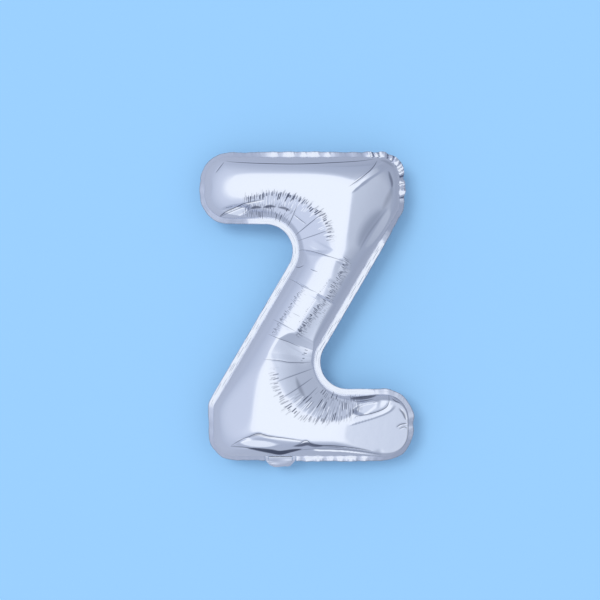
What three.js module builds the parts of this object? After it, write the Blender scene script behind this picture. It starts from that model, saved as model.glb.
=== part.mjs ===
// Letter foil balloon: the letter Z in metallised film, filled with air, lying on its back with its face up.
// Millimetres. x runs to the letter's right, y to its top, z up from the surface it lies on.
// The letter is drawn about its own middle, where it looks the same after half a turn.

import * as THREE from "three";

// The letter's flat outline, to the outer edge of its welded margin
const letterHeight = 341;
const letterWidth = 236.5;
const limbBreadth = 80; // each stroke of the letter, margins included
const elbowX = 108.4; // how far out the two acute corners reach
const diagonalLean = THREE.MathUtils.degToRad(30.3); // from upright
const endRadius = 33;
const elbowRadius = 28;
const elbowEaseRadius = 18; // where an acute corner runs into the diagonal
const crotchRadius = 29.5; // the two hollow corners

// The film and its weld
const marginWidth = 6; // flat border outside the air space
const marginThickness = 1.6;
const marginLap = 2; // how far the margin reaches in under the panels' rims
const panelThickness = 1.6;
const seatGap = 0.3; // between faces that touch

// The blown-up form
const crestHeight = 35; // of a stroke, above its rim
const elbowRise = 11; // how much fuller an acute corner stands
const restFlat = 1.6; // how much of the back is pressed flat where it lies
const ribSides = 14; // faces across a panel
const sideCuts = [{ over: 60, parts: 5 }, { over: 15, parts: 2 }]; // how a straight side of that length is divided

// Where the front is pulled straight between its welds. Along each hollow side it rises from the weld in one
// slope: at each travel along that weld, the height over the seam where the slope starts, and its tilt.
const upperSlopes = [
  { travel: -70, start: 40, tilt: 25 },
  { travel: -58, start: 18, tilt: 25 },
  { travel: -12, start: 20.5, tilt: 27 },
  { travel: 56, start: 21.5, tilt: 28 },
  { travel: 90, start: 36, tilt: 25 },
];
const lowerSlopes = [
  { travel: -70, start: 40, tilt: 25 },
  { travel: -50, start: 20, tilt: 22 },
  { travel: 0, start: 20, tilt: 27 },
  { travel: 52, start: 18.5, tilt: 27 },
  { travel: 62, start: 17.5, tilt: 25 },
  { travel: 76, start: 21.4, tilt: 25 },
  { travel: 160, start: 21.6, tilt: 26 },
  { travel: 190, start: 40, tilt: 25 },
];
// Flat faces cut the elbows and one end: a place on each, its height over the seam, the way it faces, its tilt,
// and how far from that place it reaches.
const flatFaces = [
  { x: 43, y: 90, z: 43, faces: 184, tilt: 5.5, reach: 130 }, // the upper elbow's top
  { x: 43, y: 90, z: 43.5, faces: -8, tilt: 23, reach: 90 }, // and its long right face
  { x: 70, y: 90, z: 31.5, faces: -14, tilt: 33, reach: 90 }, // which steepens outwards
  { x: -58, y: -103, z: 43, faces: 4, tilt: 5.5, reach: 130 }, // the lower elbow's top
  { x: -58, y: -103, z: 43.5, faces: 172, tilt: 21, reach: 90 }, // and its left face
  { x: -80, y: -103, z: 34, faces: 165, tilt: 33, reach: 90 },
  { x: 48, y: -128, z: 34, faces: 4, tilt: 15, reach: 60 }, // the lower stroke's end falls away
];

// The filling neck, a flat tail that turns down and under the lower stroke
const neckX = -28.6;
const neckWidth = 34;
const neckProud = 5.5; // how far the turned neck stands out past the margin
const neckTurnRadius = 6;
const neckUnderRadius = 26.3;
const neckUnderSweep = THREE.MathUtils.degToRad(68);
const neckFilmThickness = 0.8;
const neckWeldWidth = 4;
const valveThickness = 0.4;
const valveProud = 5; // of the valve's lips, past the neck's mouth

const seamZ = crestHeight + seatGap + marginThickness / 2 - restFlat; // middle of the welded margin
const topY = letterHeight / 2;
const endX = letterWidth / 2;
const strokeMiddleY = topY - limbBreadth / 2;
const innerY = topY - limbBreadth;
const diagonalHalf = limbBreadth / 2 / Math.cos(diagonalLean); // measured along x
const diagonalAt = (y) => Math.tan(diagonalLean) * y;
const acrossDiagonal = new THREE.Vector2(Math.cos(diagonalLean), -Math.sin(diagonalLean));
const downDiagonal = new THREE.Vector2(-Math.sin(diagonalLean), -Math.cos(diagonalLean));
const hollowCentre = new THREE.Vector2(-diagonalHalf + diagonalAt(innerY), innerY).add(
  new THREE.Vector2(-crotchRadius / Math.tan((Math.PI / 2 - diagonalLean) / 2), -crotchRadius));
const rimZ = marginThickness / 2 + seatGap; // the panels' rims above and below the margin's middle

// Half of the outline's corners, clockwise from the top left; the other half is the same after half a turn.
const halfCorners = [
  { x: -endX, y: topY, r: endRadius },
  { x: elbowX, y: topY, r: elbowRadius },
  { x: elbowX, y: (elbowX - diagonalHalf) / Math.tan(diagonalLean), r: elbowEaseRadius },
  { x: diagonalHalf + diagonalAt(-innerY), y: -innerY, r: -crotchRadius },
  { x: endX, y: -innerY, r: endRadius },
];
const corners = [...halfCorners, ...halfCorners.map(({ x, y, r }) => ({ x: -x, y: -y, r }))];

const cross = (a, b) => a.x * b.y - a.y * b.x;

// The outline moved inwards by inset, as points. A hollow corner has a negative radius in the table.
function outlinePoints(inset, arcStep = THREE.MathUtils.degToRad(9)) {
  const edges = corners.map((corner, i) => {
    const from = new THREE.Vector2(corner.x, corner.y);
    const next = corners[(i + 1) % corners.length];
    const along = new THREE.Vector2(next.x, next.y).sub(from).normalize();
    const inwards = new THREE.Vector2(along.y, -along.x);
    return { from: from.addScaledVector(inwards, inset), along, inwards };
  });
  return edges.flatMap((edge, i) => {
    const before = edges[(i + edges.length - 1) % edges.length];
    const reach = cross(edge.from.clone().sub(before.from), edge.along) / cross(before.along, edge.along);
    const corner = before.from.clone().addScaledVector(before.along, reach);
    const radius = corners[i].r - inset; // signed, so a hollow corner grows as the outline shrinks
    const turn = Math.atan2(cross(before.along, edge.along), before.along.dot(edge.along));
    const setBack = Math.abs(radius * Math.tan(turn / 2));
    const start = corner.clone().addScaledVector(before.along, -setBack);
    const centre = start.clone().addScaledVector(before.inwards, radius);
    const steps = Math.ceil(Math.abs(turn) / arcStep);
    return Array.from({ length: steps + 1 }, (_, k) => start.clone().rotateAround(centre, (turn * k) / steps));
  });
}

// Where a ray first meets an outline, skipping the given number of crossings.
function meet(outline, origin, direction, skip = 0) {
  const hits = outline.flatMap((a, i) => {
    const side = outline[(i + 1) % outline.length].clone().sub(a);
    const across = cross(direction, side);
    const toSide = a.clone().sub(origin);
    const distance = cross(toSide, side) / across;
    const share = cross(toSide, direction) / across;
    return across !== 0 && distance > 0 && share >= 0 && share < 1 ? [distance] : [];
  });
  return origin.clone().addScaledVector(direction, hits.sort((a, b) => a - b)[skip]);
}

// The side of an outline that a point lies on.
function sideHolding(outline, p) {
  const detour = (i) => {
    const next = outline[(i + 1) % outline.length];
    return outline[i].distanceTo(p) + p.distanceTo(next) - outline[i].distanceTo(next);
  };
  return outline.reduce((best, _, i) => (detour(i) < detour(best) ? i : best), 0);
}

// An outline's points between two places on it, with the longer straight sides divided.
function stretch(outline, from, to) {
  const last = sideHolding(outline, to);
  const points = [from];
  for (let i = sideHolding(outline, from); i !== last; i = (i + 1) % outline.length) {
    points.push(outline[(i + 1) % outline.length]);
  }
  points.push(to);
  return points.slice(1).flatMap((p, i) => {
    const side = p.distanceTo(points[i]);
    const parts = sideCuts.find(({ over }) => side > over)?.parts ?? 1;
    return Array.from({ length: parts }, (_, k) => points[i].clone().lerp(p, k / parts));
  });
}

// Lines across half of the letter, from the tip of the upper stroke to the middle of the diagonal.
// Each has its outer end, its inner end and the height that the blown-up panel crests at there.
function halfRibs(outline, height) {
  const up = new THREE.Vector2(0, 1);
  const down = new THREE.Vector2(0, -1);
  const tipX = Math.min(...outline.map((p) => p.x));
  const tipSteps = 8;
  const tipLength = 40; // over which a stroke's end swells to its full height
  const strokeSteps = 4;
  const diagonalSteps = 3;

  const tip = Array.from({ length: tipSteps }, (_, i) => {
    const angle = (Math.PI / 2) * (i / tipSteps);
    const nudge = 0.01; // keeps the first line just inside the outline's own straight end
    const x = tipX + nudge + tipLength * (1 - Math.cos(angle));
    const middle = new THREE.Vector2(x, strokeMiddleY);
    const crest = height * Math.sin(angle);
    return { outer: meet(outline, middle, up), inner: meet(outline, middle, down), crest };
  });
  const stroke = Array.from({ length: strokeSteps }, (_, i) => {
    const x = THREE.MathUtils.lerp(tipX + tipLength, hollowCentre.x, i / strokeSteps);
    const middle = new THREE.Vector2(x, strokeMiddleY);
    return { outer: meet(outline, middle, up), inner: meet(outline, middle, down), crest: height };
  });
  const fanStart = meet(outline, new THREE.Vector2(hollowCentre.x, strokeMiddleY), up);
  const fanEnd = meet(outline, hollowCentre, acrossDiagonal, 1);
  const roundElbow = stretch(outline, fanStart, fanEnd);
  const fan = roundElbow.map((outer, i) => {
    const share = i / roundElbow.length;
    const angle = Math.PI / 2 - (Math.PI / 2 + diagonalLean) * share;
    const direction = new THREE.Vector2(Math.cos(angle), Math.sin(angle));
    return {
      outer,
      inner: meet(outline, hollowCentre, direction),
      crest: height + elbowRise * Math.sin(Math.PI * share) ** 2,
    };
  });
  const diagonalStart = hollowCentre.dot(downDiagonal);
  const diagonal = Array.from({ length: diagonalSteps + 1 }, (_, i) => {
    const middle = downDiagonal.clone().multiplyScalar(THREE.MathUtils.lerp(diagonalStart, 0, i / diagonalSteps));
    return {
      outer: meet(outline, middle, acrossDiagonal),
      inner: meet(outline, middle, acrossDiagonal.clone().negate()),
      crest: height,
    };
  });
  return [...tip, ...stroke, ...fan, ...diagonal];
}

// A curved sheet of points over the outline, in rows of ribSides + 1, with z measured up from the rim.
function swollenSheet(inset, height) {
  const half = halfRibs(outlinePoints(inset), height);
  const other = half.slice(0, -1).reverse().map(({ outer, inner, crest }) => ({
    outer: inner.clone().negate(),
    inner: outer.clone().negate(),
    crest,
  }));
  return [...half, ...other].map(({ outer, inner, crest }) =>
    Array.from({ length: ribSides + 1 }, (_, j) => {
      const angle = Math.PI * (j / ribSides - 0.5);
      const p = inner.clone().lerp(outer, (1 + Math.sin(angle)) / 2);
      return new THREE.Vector3(p.x, p.y, crest * Math.cos(angle));
    }));
}

// How far a place lies from the weld round the upper hollow corner, and how far along that weld it is, counted
// from where the stroke meets the corner.
function alongHollow(p) {
  const radius = crotchRadius + marginWidth;
  const offset = p.clone().sub(hollowCentre);
  if (offset.x < 0 && offset.y > 0) return { reach: offset.y - radius, travel: offset.x };
  const angle = Math.atan2(offset.y, offset.x);
  if (angle > -diagonalLean) return { reach: offset.length() - radius, travel: radius * (Math.PI / 2 - angle) };
  const cornerLength = radius * (Math.PI / 2 + diagonalLean);
  return { reach: offset.dot(acrossDiagonal) - radius, travel: cornerLength + offset.dot(downDiagonal) };
}

// A column of a table of slopes, read at a travel between its rows.
function slopeAt(slopes, travel, column) {
  const after = slopes.findIndex((row) => row.travel > travel);
  if (after === -1) return slopes.at(-1)[column];
  if (after === 0) return slopes[0][column];
  const [a, b] = [slopes[after - 1], slopes[after]];
  return THREE.MathUtils.mapLinear(travel, a.travel, b.travel, a[column], b[column]);
}

// The height over its rim that the front is held down to at a place.
function pulledHeight({ x, y }) {
  const hollows = [[new THREE.Vector2(x, y), upperSlopes], [new THREE.Vector2(-x, -y), lowerSlopes]];
  const slopes = hollows.map(([p, table]) => {
    const { reach, travel } = alongHollow(p);
    const tilt = THREE.MathUtils.degToRad(slopeAt(table, travel, "tilt"));
    return slopeAt(table, travel, "start") + Math.tan(tilt) * Math.max(reach, 0);
  });
  const faces = flatFaces.map((face) => {
    const offset = new THREE.Vector2(x - face.x, y - face.y);
    const [bearing, tilt] = [face.faces, face.tilt].map(THREE.MathUtils.degToRad);
    const away = offset.x * Math.cos(bearing) + offset.y * Math.sin(bearing);
    return face.z - Math.tan(tilt) * away + Math.max(offset.length() - face.reach, 0);
  });
  return Math.min(...slopes, ...faces) - rimZ;
}

// One panel: an outer and an inner sheet joined along a flat rim, each sheet no higher than its limit there.
function panelGeometry(limitAt) {
  const outer = swollenSheet(marginWidth, crestHeight);
  const inner = swollenSheet(marginWidth + panelThickness, crestHeight - panelThickness);
  const rows = outer.length;
  const columns = ribSides + 1;
  const position = [];
  outer.flat().forEach((p) => position.push(p.x, p.y, Math.min(p.z, limitAt(p))));
  inner.flat().forEach((p) => position.push(p.x, p.y, Math.min(p.z, limitAt(p) - panelThickness)));
  const at = (sheet, i, j) => (sheet * rows + i) * columns + j;
  const index = [];
  const quad = (a, b, c, d) => index.push(a, b, c, a, c, d);
  for (let i = 0; i < rows - 1; i++) {
    for (let j = 0; j < columns - 1; j++) {
      quad(at(0, i, j), at(0, i + 1, j), at(0, i + 1, j + 1), at(0, i, j + 1));
      quad(at(1, i, j), at(1, i, j + 1), at(1, i + 1, j + 1), at(1, i + 1, j));
    }
    quad(at(0, i, 0), at(1, i, 0), at(1, i + 1, 0), at(0, i + 1, 0));
    quad(at(0, i + 1, columns - 1), at(1, i + 1, columns - 1), at(1, i, columns - 1), at(0, i, columns - 1));
  }
  for (let j = 0; j < columns - 1; j++) {
    quad(at(0, 0, j + 1), at(1, 0, j + 1), at(1, 0, j), at(0, 0, j));
    quad(at(0, rows - 1, j), at(1, rows - 1, j), at(1, rows - 1, j + 1), at(0, rows - 1, j + 1));
  }
  const geometry = new THREE.BufferGeometry();
  geometry.setAttribute("position", new THREE.Float32BufferAttribute(position, 3));
  geometry.setIndex(index);
  geometry.computeVertexNormals();
  return geometry;
}

// The welded margin: a flat band round the whole letter, broken where the neck leaves it.
function marginGeometry() {
  const outer = outlinePoints(0);
  const inner = outlinePoints(marginWidth + marginLap);
  const bottomY = -topY;
  // The lower edge runs from right to left, so the band is one strip from the neck's left side round to its right.
  const breakAt = outer.findIndex((p, i) => {
    const next = outer[(i + 1) % outer.length];
    return Math.abs(p.y - bottomY) < 1e-6 && Math.abs(next.y - bottomY) < 1e-6;
  });
  const innerBottom = Math.min(...inner.map((p) => p.y));
  const breakIn = inner.findIndex((p, i) => {
    const next = inner[(i + 1) % inner.length];
    return Math.abs(p.y - innerBottom) < 1e-6 && Math.abs(next.y - innerBottom) < 1e-6;
  });
  const roll = (points, start) => [...points.slice(start + 1), ...points.slice(0, start + 1)];
  const left = neckX - neckWidth / 2;
  const right = neckX + neckWidth / 2;
  const band = new THREE.Shape([
    new THREE.Vector2(left, bottomY), ...roll(outer, breakAt), new THREE.Vector2(right, bottomY),
    new THREE.Vector2(right, innerBottom), ...roll(inner, breakIn).reverse(), new THREE.Vector2(left, innerBottom),
  ]);
  return new THREE.ExtrudeGeometry(band, { depth: marginThickness, bevelEnabled: false });
}

// The neck's middle line, seen from the side: out from the seam, down round a tight turn, then under the stroke.
// Each station has its place (y, and z from the seam) and the way that its film faces outwards there.
function neckStations(extra = 0) {
  const rootY = -topY + marginWidth - seatGap; // just clear of the panels' edge
  const turnY = -topY - neckProud + neckTurnRadius;
  const turnSteps = 6;
  const underSteps = 9;
  const stations = [{ y: rootY, z: 0, facing: Math.PI / 2 }];
  for (let i = 0; i <= turnSteps; i++) {
    const facing = Math.PI / 2 + (Math.PI / 2) * (i / turnSteps);
    stations.push({
      y: turnY + neckTurnRadius * Math.cos(facing),
      z: -neckTurnRadius + neckTurnRadius * Math.sin(facing),
      facing,
    });
  }
  const underY = turnY - neckTurnRadius + neckUnderRadius;
  for (let i = 1; i <= underSteps; i++) {
    const facing = Math.PI + neckUnderSweep * (i / underSteps);
    stations.push({
      y: underY + neckUnderRadius * Math.cos(facing),
      z: -neckTurnRadius + neckUnderRadius * Math.sin(facing),
      facing,
    });
  }
  const { y, z, facing } = stations.at(-1);
  if (extra > 0) stations.push({ y: y - extra * Math.sin(facing), z: z + extra * Math.cos(facing), facing });
  return stations;
}

// A strip of the neck between two depths from its middle line, spanning a stretch of x.
function neckStrip(low, high, fromX, toX, extra = 0) {
  const stations = neckStations(extra);
  const side = (depth) => stations.map(({ y, z, facing }) =>
    new THREE.Vector2(y + depth * Math.cos(facing), z + depth * Math.sin(facing)));
  const profile = new THREE.Shape([...side(low), ...side(high).reverse()]);
  const geometry = new THREE.ExtrudeGeometry(profile, { depth: toX - fromX, bevelEnabled: false });
  // The profile is drawn in the y-z plane and runs along x.
  geometry.applyMatrix4(new THREE.Matrix4().makeBasis(
    new THREE.Vector3(0, 1, 0), new THREE.Vector3(0, 0, 1), new THREE.Vector3(1, 0, 0)));
  return geometry.translate(fromX, 0, 0);
}

const film = { color: 0xccd3e4, roughness: 0.14, metalness: 1 };
const mirrorFilm = new THREE.MeshStandardMaterial(film);
const weldedFilm = new THREE.MeshStandardMaterial({ ...film, color: 0xdfe5f0, roughness: 0.3 });
const clearFilm = new THREE.MeshStandardMaterial({ color: 0xe6ecf2, roughness: 0.25, metalness: 0 });

const balloon = new THREE.Group();
const letter = new THREE.Group();
letter.position.set(0, neckProud / 2, seamZ); // the neck stands out at the bottom, so the whole is centred
balloon.add(letter);

function place(name, geometry, material) {
  const mesh = new THREE.Mesh(geometry, material);
  mesh.name = name;
  letter.add(mesh);
  return mesh;
}

place("front_panel", panelGeometry(pulledHeight), mirrorFilm).position.z = rimZ;
const back = place("back_panel", panelGeometry(() => seamZ - rimZ), mirrorFilm);
back.scale.z = -1; // the same outline, swollen downwards
back.position.z = -rimZ;
place("welded_margin", marginGeometry(), weldedFilm).position.z = -marginThickness / 2;

const filmX = [neckX - neckWidth / 2 + neckWeldWidth, neckX + neckWidth / 2 - neckWeldWidth];
const valveLayer = seatGap / 2; // the two valve films lie either side of the neck's middle line
const filmLayer = valveLayer + valveThickness + seatGap;
place("neck_front_film", neckStrip(filmLayer, filmLayer + neckFilmThickness, ...filmX), mirrorFilm);
place("neck_back_film", neckStrip(-filmLayer - neckFilmThickness, -filmLayer, ...filmX), mirrorFilm);
const valveX = [filmX[0] + seatGap, filmX[1] - seatGap];
place("valve_front_film", neckStrip(valveLayer, valveLayer + valveThickness, ...valveX, valveProud), clearFilm);
place("valve_back_film", neckStrip(-valveLayer - valveThickness, -valveLayer, ...valveX, valveProud), clearFilm);
for (const [side, edge, inner] of [
  ["left", neckX - neckWidth / 2 + seatGap, filmX[0] - seatGap],
  ["right", filmX[1] + seatGap, neckX + neckWidth / 2 - seatGap],
]) {
  place(`neck_weld_${side}`, neckStrip(-marginThickness / 2, marginThickness / 2, edge, inner), weldedFilm);
}

export default balloon;
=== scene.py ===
# Letter foil balloon, lying on its back on a pale floor, seen from straight above.
import math
from functools import partial

import bpy
import numpy as np
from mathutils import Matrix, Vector, noise


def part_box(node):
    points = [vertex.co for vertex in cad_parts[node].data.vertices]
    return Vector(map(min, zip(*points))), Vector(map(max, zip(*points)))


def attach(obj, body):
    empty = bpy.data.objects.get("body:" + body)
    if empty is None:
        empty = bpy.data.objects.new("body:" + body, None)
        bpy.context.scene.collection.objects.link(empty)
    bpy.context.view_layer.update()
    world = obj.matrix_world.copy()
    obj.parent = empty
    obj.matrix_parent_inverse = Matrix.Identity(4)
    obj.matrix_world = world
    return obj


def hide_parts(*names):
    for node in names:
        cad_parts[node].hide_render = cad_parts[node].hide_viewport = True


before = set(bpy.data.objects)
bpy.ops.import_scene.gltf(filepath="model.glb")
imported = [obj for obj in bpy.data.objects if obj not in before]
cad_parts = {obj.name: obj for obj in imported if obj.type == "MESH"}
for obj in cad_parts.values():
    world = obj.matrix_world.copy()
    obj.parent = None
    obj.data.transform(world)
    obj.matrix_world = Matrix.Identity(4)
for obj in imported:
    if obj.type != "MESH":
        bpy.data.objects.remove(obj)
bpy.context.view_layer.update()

millimetre = 0.001

# The letter's plan is worked in millimetres about its own middle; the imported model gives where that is.
marginLow, marginHigh = (np.array(corner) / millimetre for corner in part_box("welded_margin"))
panelHigh = np.array(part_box("front_panel")[1]) / millimetre
letterMiddle = (marginLow + marginHigh) / 2
weldInset = marginHigh[0] - panelHigh[0]  # the weld runs this far in from the margin's edge

letter = {
    "height": marginHigh[1] - marginLow[1],
    "width": marginHigh[0] - marginLow[0],
    "limbBreadth": 80.0,
    "elbowX": 108.4,  # how far out the two acute corners reach
    "lean": math.radians(30.3),  # of the diagonal, from upright
    "endRadius": 33.0,
    "elbowRadius": 28.0,
    "elbowEaseRadius": 18.0,
    "hollowRadius": 29.5,
}
acrossDiagonal = np.array([math.cos(letter["lean"]), -math.sin(letter["lean"])])
downDiagonal = np.array([-math.sin(letter["lean"]), -math.cos(letter["lean"])])

# How the photograph was taken, in millimetres at the height of the weld.
photo = {
    "pixel": 1.1,
    "pixels": 600,
    "cameraHeight": 1400.0,
    "offCentre": 6.5,  # pixels: the letter's middle lies this far right of and below the photograph's
    "creaseHeight": 21.0,  # of a usual crease over the weld
}
cameraFoot = np.array([-1, 1]) * photo["offCentre"] * photo["pixel"]  # the point that the camera is over


# Colour, node and piece helpers

def linear(hexColour):
    channels = [int(hexColour[i:i + 2], 16) / 255 for i in (1, 3, 5)]
    return [c / 12.92 if c <= 0.04045 else ((c + 0.055) / 1.055) ** 2.4 for c in channels] + [1.0]


def addNode(tree, kind, *given, settings=None, **links):
    # The kind may be followed by an operation. Inputs come in order, by name with _ for a space, or by
    # number as i0, i1, and a node stands for its first output. "stops" fills a colour ramp.
    kind, *operation = kind.split()
    node = tree.nodes.new(kind)
    if operation:
        node.operation = operation[0]
    for name, value in (settings or {}).items():
        if name == "stops":
            ramp = node.color_ramp.elements
            for k, (place, colour) in enumerate(value):
                stop = ramp[k] if k < len(ramp) else ramp.new(place)
                stop.position = place
                stop.color = linear(colour)
        else:
            setattr(node, name, value)
    for key, value in [*enumerate(given), *links.items()]:
        if isinstance(key, str):
            key = int(key[1:]) if key[1:].isdigit() else key.replace("_", " ")
        if isinstance(value, bpy.types.Node):
            value = value.outputs[0]
        if isinstance(value, bpy.types.NodeSocket):
            tree.links.new(value, node.inputs[key])
        else:
            node.inputs[key].default_value = value
    return node


def newMaterial(name):
    material = bpy.data.materials.new(name)
    material.use_nodes = True
    return material, material.node_tree, material.node_tree.nodes["Principled BSDF"]


def newTree(name, inputs):
    # A geometry tree with these inputs besides its geometry; gives the tree and its group input's sockets.
    tree = bpy.data.node_groups.new(name, "GeometryNodeTree")
    tree.interface.new_socket("Geometry", in_out="OUTPUT", socket_type="NodeSocketGeometry")
    tree.interface.new_socket("Geometry", in_out="INPUT", socket_type="NodeSocketGeometry")
    for label, kind in inputs.items():
        tree.interface.new_socket(label, in_out="INPUT", socket_type=f"NodeSocket{kind}")
    return tree, addNode(tree, "NodeGroupInput").outputs


def endTree(tree, geometry, material):
    whole = addNode(tree, "GeometryNodeRealizeInstances", geometry)
    painted = addNode(tree, "GeometryNodeSetMaterial", Geometry=whole, Material=material)
    addNode(tree, "NodeGroupOutput", painted)


def useTree(piece, tree, values):
    modifier = piece.modifiers.new(tree.name, "NODES")
    modifier.node_group = tree
    for item in tree.interface.items_tree:
        if item.in_out == "INPUT" and item.name in values:
            modifier[item.identifier] = values[item.name]


def placed(name, data):
    # A new object in the scene.
    piece = bpy.data.objects.new(name, data)
    bpy.context.scene.collection.objects.link(piece)
    return piece


def walled(piece, thickness):
    # Gives a bare surface this thickness, half to each side.
    wall = piece.modifiers.new("wall", "SOLIDIFY")
    wall.thickness = thickness * millimetre
    wall.offset = 0.0
    madeFast(piece)


def madeFast(piece):
    # Turns what the modifiers give into the piece's own plain mesh.
    shown = piece.evaluated_get(bpy.context.evaluated_depsgraph_get())
    mesh = bpy.data.meshes.new_from_object(shown)
    piece.modifiers.clear()
    old = piece.data
    piece.data = mesh
    bpy.data.meshes.remove(old)
    mesh.name = piece.name


def keepNumbers(piece, **fields):
    # Numbers that belong to the mesh's points, for its trees and its material.
    for name, values in fields.items():
        attribute = piece.data.attributes.new(name, "FLOAT", "POINT")
        attribute.data.foreach_set("value", np.ascontiguousarray(values, dtype=np.float32).ravel())


def named(fields, rows):
    # The rows of a table as dictionaries by the names of its columns.
    return [dict(zip(fields, row)) for row in rows]


# The letter's outline

def cross2(a, b):
    return a[0] * b[1] - a[1] * b[0]


def letterCorners():
    topY, endX = letter["height"] / 2, letter["width"] / 2
    innerY = topY - letter["limbBreadth"]
    diagonalHalf = letter["limbBreadth"] / 2 / math.cos(letter["lean"])  # measured along x
    slope = math.tan(letter["lean"])
    half = [
        (-endX, topY, letter["endRadius"]),
        (letter["elbowX"], topY, letter["elbowRadius"]),
        (letter["elbowX"], (letter["elbowX"] - diagonalHalf) / slope, letter["elbowEaseRadius"]),
        (diagonalHalf - slope * innerY, -innerY, -letter["hollowRadius"]),
        (endX, -innerY, letter["endRadius"]),
    ]
    return half + [(-x, -y, r) for x, y, r in half]


def outline(inset, arcStep=math.radians(2)):
    # Clockwise from the top left. Each point comes with its corner's number, as the second result.
    corners = letterCorners()
    edges = []
    for i, (x, y, _) in enumerate(corners):
        nextX, nextY, _ = corners[(i + 1) % len(corners)]
        along = np.array([nextX - x, nextY - y])
        along /= np.linalg.norm(along)
        inwards = np.array([along[1], -along[0]])
        edges.append((np.array([x, y]) + inwards * inset, along, inwards))
    points, numbers = [], []
    for i, (start, along, _) in enumerate(edges):
        beforeStart, beforeAlong, beforeInwards = edges[i - 1]
        reach = cross2(start - beforeStart, along) / cross2(beforeAlong, along)
        corner = beforeStart + beforeAlong * reach
        radius = corners[i][2] - inset
        turn = math.atan2(cross2(beforeAlong, along), float(beforeAlong @ along))
        first = corner - beforeAlong * abs(radius * math.tan(turn / 2))
        centre = first + beforeInwards * radius
        steps = math.ceil(abs(turn) / arcStep)
        for angle in np.linspace(0, turn, steps + 1):
            away = first - centre
            points.append(centre + [away[0] * math.cos(angle) - away[1] * math.sin(angle),
                                    away[0] * math.sin(angle) + away[1] * math.cos(angle)])
            numbers.append(i)
    return np.array(points), np.array(numbers)


def meet(line, origin, direction):
    side = np.roll(line, -1, 0) - line
    across = direction[0] * side[:, 1] - direction[1] * side[:, 0]
    across[np.abs(across) < 1e-12] = 1e-12
    toSide = line - origin
    distance = (toSide[:, 0] * side[:, 1] - toSide[:, 1] * side[:, 0]) / across
    share = (toSide[:, 0] * direction[1] - toSide[:, 1] * direction[0]) / across
    slack = 1e-6  # lets a ray through a corner point meet it
    return origin + direction * distance[(distance > slack) & (share > -slack) & (share < 1 + slack)].min()


def spacedAlong(line, start, end, count):
    following = np.roll(line, -1, 0)

    def sideOf(p):
        detour = (np.linalg.norm(line - p, axis=1) + np.linalg.norm(following - p, axis=1)
                  - np.linalg.norm(following - line, axis=1))
        return int(np.argmin(detour))

    at, last = sideOf(start), sideOf(end)
    run = [start]
    while at != last:
        at = (at + 1) % len(line)
        run.append(line[at])
    run = np.array(run + [end])
    length = np.concatenate([[0], np.cumsum(np.linalg.norm(np.diff(run, axis=0), axis=1))])
    wanted = np.linspace(0, length[-1], count, endpoint=False)
    return np.stack([np.interp(wanted, length, run[:, k]) for k in (0, 1)], 1)


def hollowCentre():
    innerY = letter["height"] / 2 - letter["limbBreadth"]
    notch = math.pi / 2 - letter["lean"]
    diagonalHalf = letter["limbBreadth"] / 2 / math.cos(letter["lean"])
    cornerX = -diagonalHalf + math.tan(letter["lean"]) * innerY
    radius = letter["hollowRadius"]
    return np.array([cornerX - radius / math.tan(notch / 2), innerY - radius])


# A film is a grid of ribs, each run across it from one weld to the other: down the upper stroke, fanned
# round the hollow corner, across the diagonal, and the same again after half a turn.
film = {
    "tipRibs": 40,
    "strokeRibs": 40,
    "fanRibs": 220,
    "halfDiagonalRibs": 100,
    "acrossPoints": 121,
    "tipLength": 40.0,  # over which a stroke's end swells to full height
    "backRibShare": 0.75,  # the back, which lies on the floor, has fewer
}


def ribEnds(share=1.0):
    weld, _ = outline(weldInset)
    strokeY = (letter["height"] - letter["limbBreadth"]) / 2
    tipX = weld[:, 0].min()
    centre = hollowCentre()
    up, down = np.array([0.0, 1.0]), np.array([0.0, -1.0])
    count = {name: round(film[name] * share)
             for name in ("tipRibs", "strokeRibs", "fanRibs", "halfDiagonalRibs")}
    upright = []
    nudge = 0.01  # keeps the first rib just inside the straight end
    for i in range(count["tipRibs"]):
        upright.append(tipX + nudge + film["tipLength"] * (1 - math.cos(math.pi / 2 * i / count["tipRibs"])))
    fullX = tipX + film["tipLength"]
    upright += list(np.linspace(fullX, centre[0], count["strokeRibs"], endpoint=False))
    middles = [np.array([x, strokeY]) for x in upright]
    ends = [(meet(weld, middle, down), meet(weld, middle, up)) for middle in middles]
    radius = letter["hollowRadius"] + weldInset
    fanFrom = meet(weld, np.array([centre[0], strokeY]), up)
    fanTo = meet(weld, centre + acrossDiagonal * (radius + 1), acrossDiagonal)
    outer = spacedAlong(weld, fanFrom, fanTo, count["fanRibs"])
    for i, point in enumerate(outer):
        angle = math.pi / 2 - (math.pi / 2 + letter["lean"]) * i / count["fanRibs"]
        ends.append((centre + radius * np.array([math.cos(angle), math.sin(angle)]), point))
    for reach in np.linspace(float(centre @ downDiagonal), 0, count["halfDiagonalRibs"] + 1):
        middle = downDiagonal * reach
        ends.append((meet(weld, middle, -acrossDiagonal), meet(weld, middle, acrossDiagonal)))
    ends += [(-outerEnd, -innerEnd) for innerEnd, outerEnd in reversed(ends[:-1])]
    return np.array(ends)


def filmPlan(share=1.0):
    ends = ribEnds(share)
    acrossAngle = np.linspace(-math.pi / 2, math.pi / 2, round((film["acrossPoints"] - 1) * share) + 1)
    along = (1 + np.sin(acrossAngle)) / 2
    return ends[:, None, 0] * (1 - along)[None, :, None] + ends[:, None, 1] * along[None, :, None]


# The swelling of a film is close to the root of a membrane's sag over the same outline, which gives a
# half circle across a straight stroke and a pillow in a wide corner.

def insideOutline(line, x, y):
    inside = np.zeros(x.shape, bool)
    for (ax, ay), (bx, by) in zip(line, np.roll(line, -1, 0)):
        if ay != by:
            inside ^= ((ay > y) != (by > y)) & (x < (bx - ax) * (y - ay) / (by - ay) + ax)
    return inside


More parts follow.
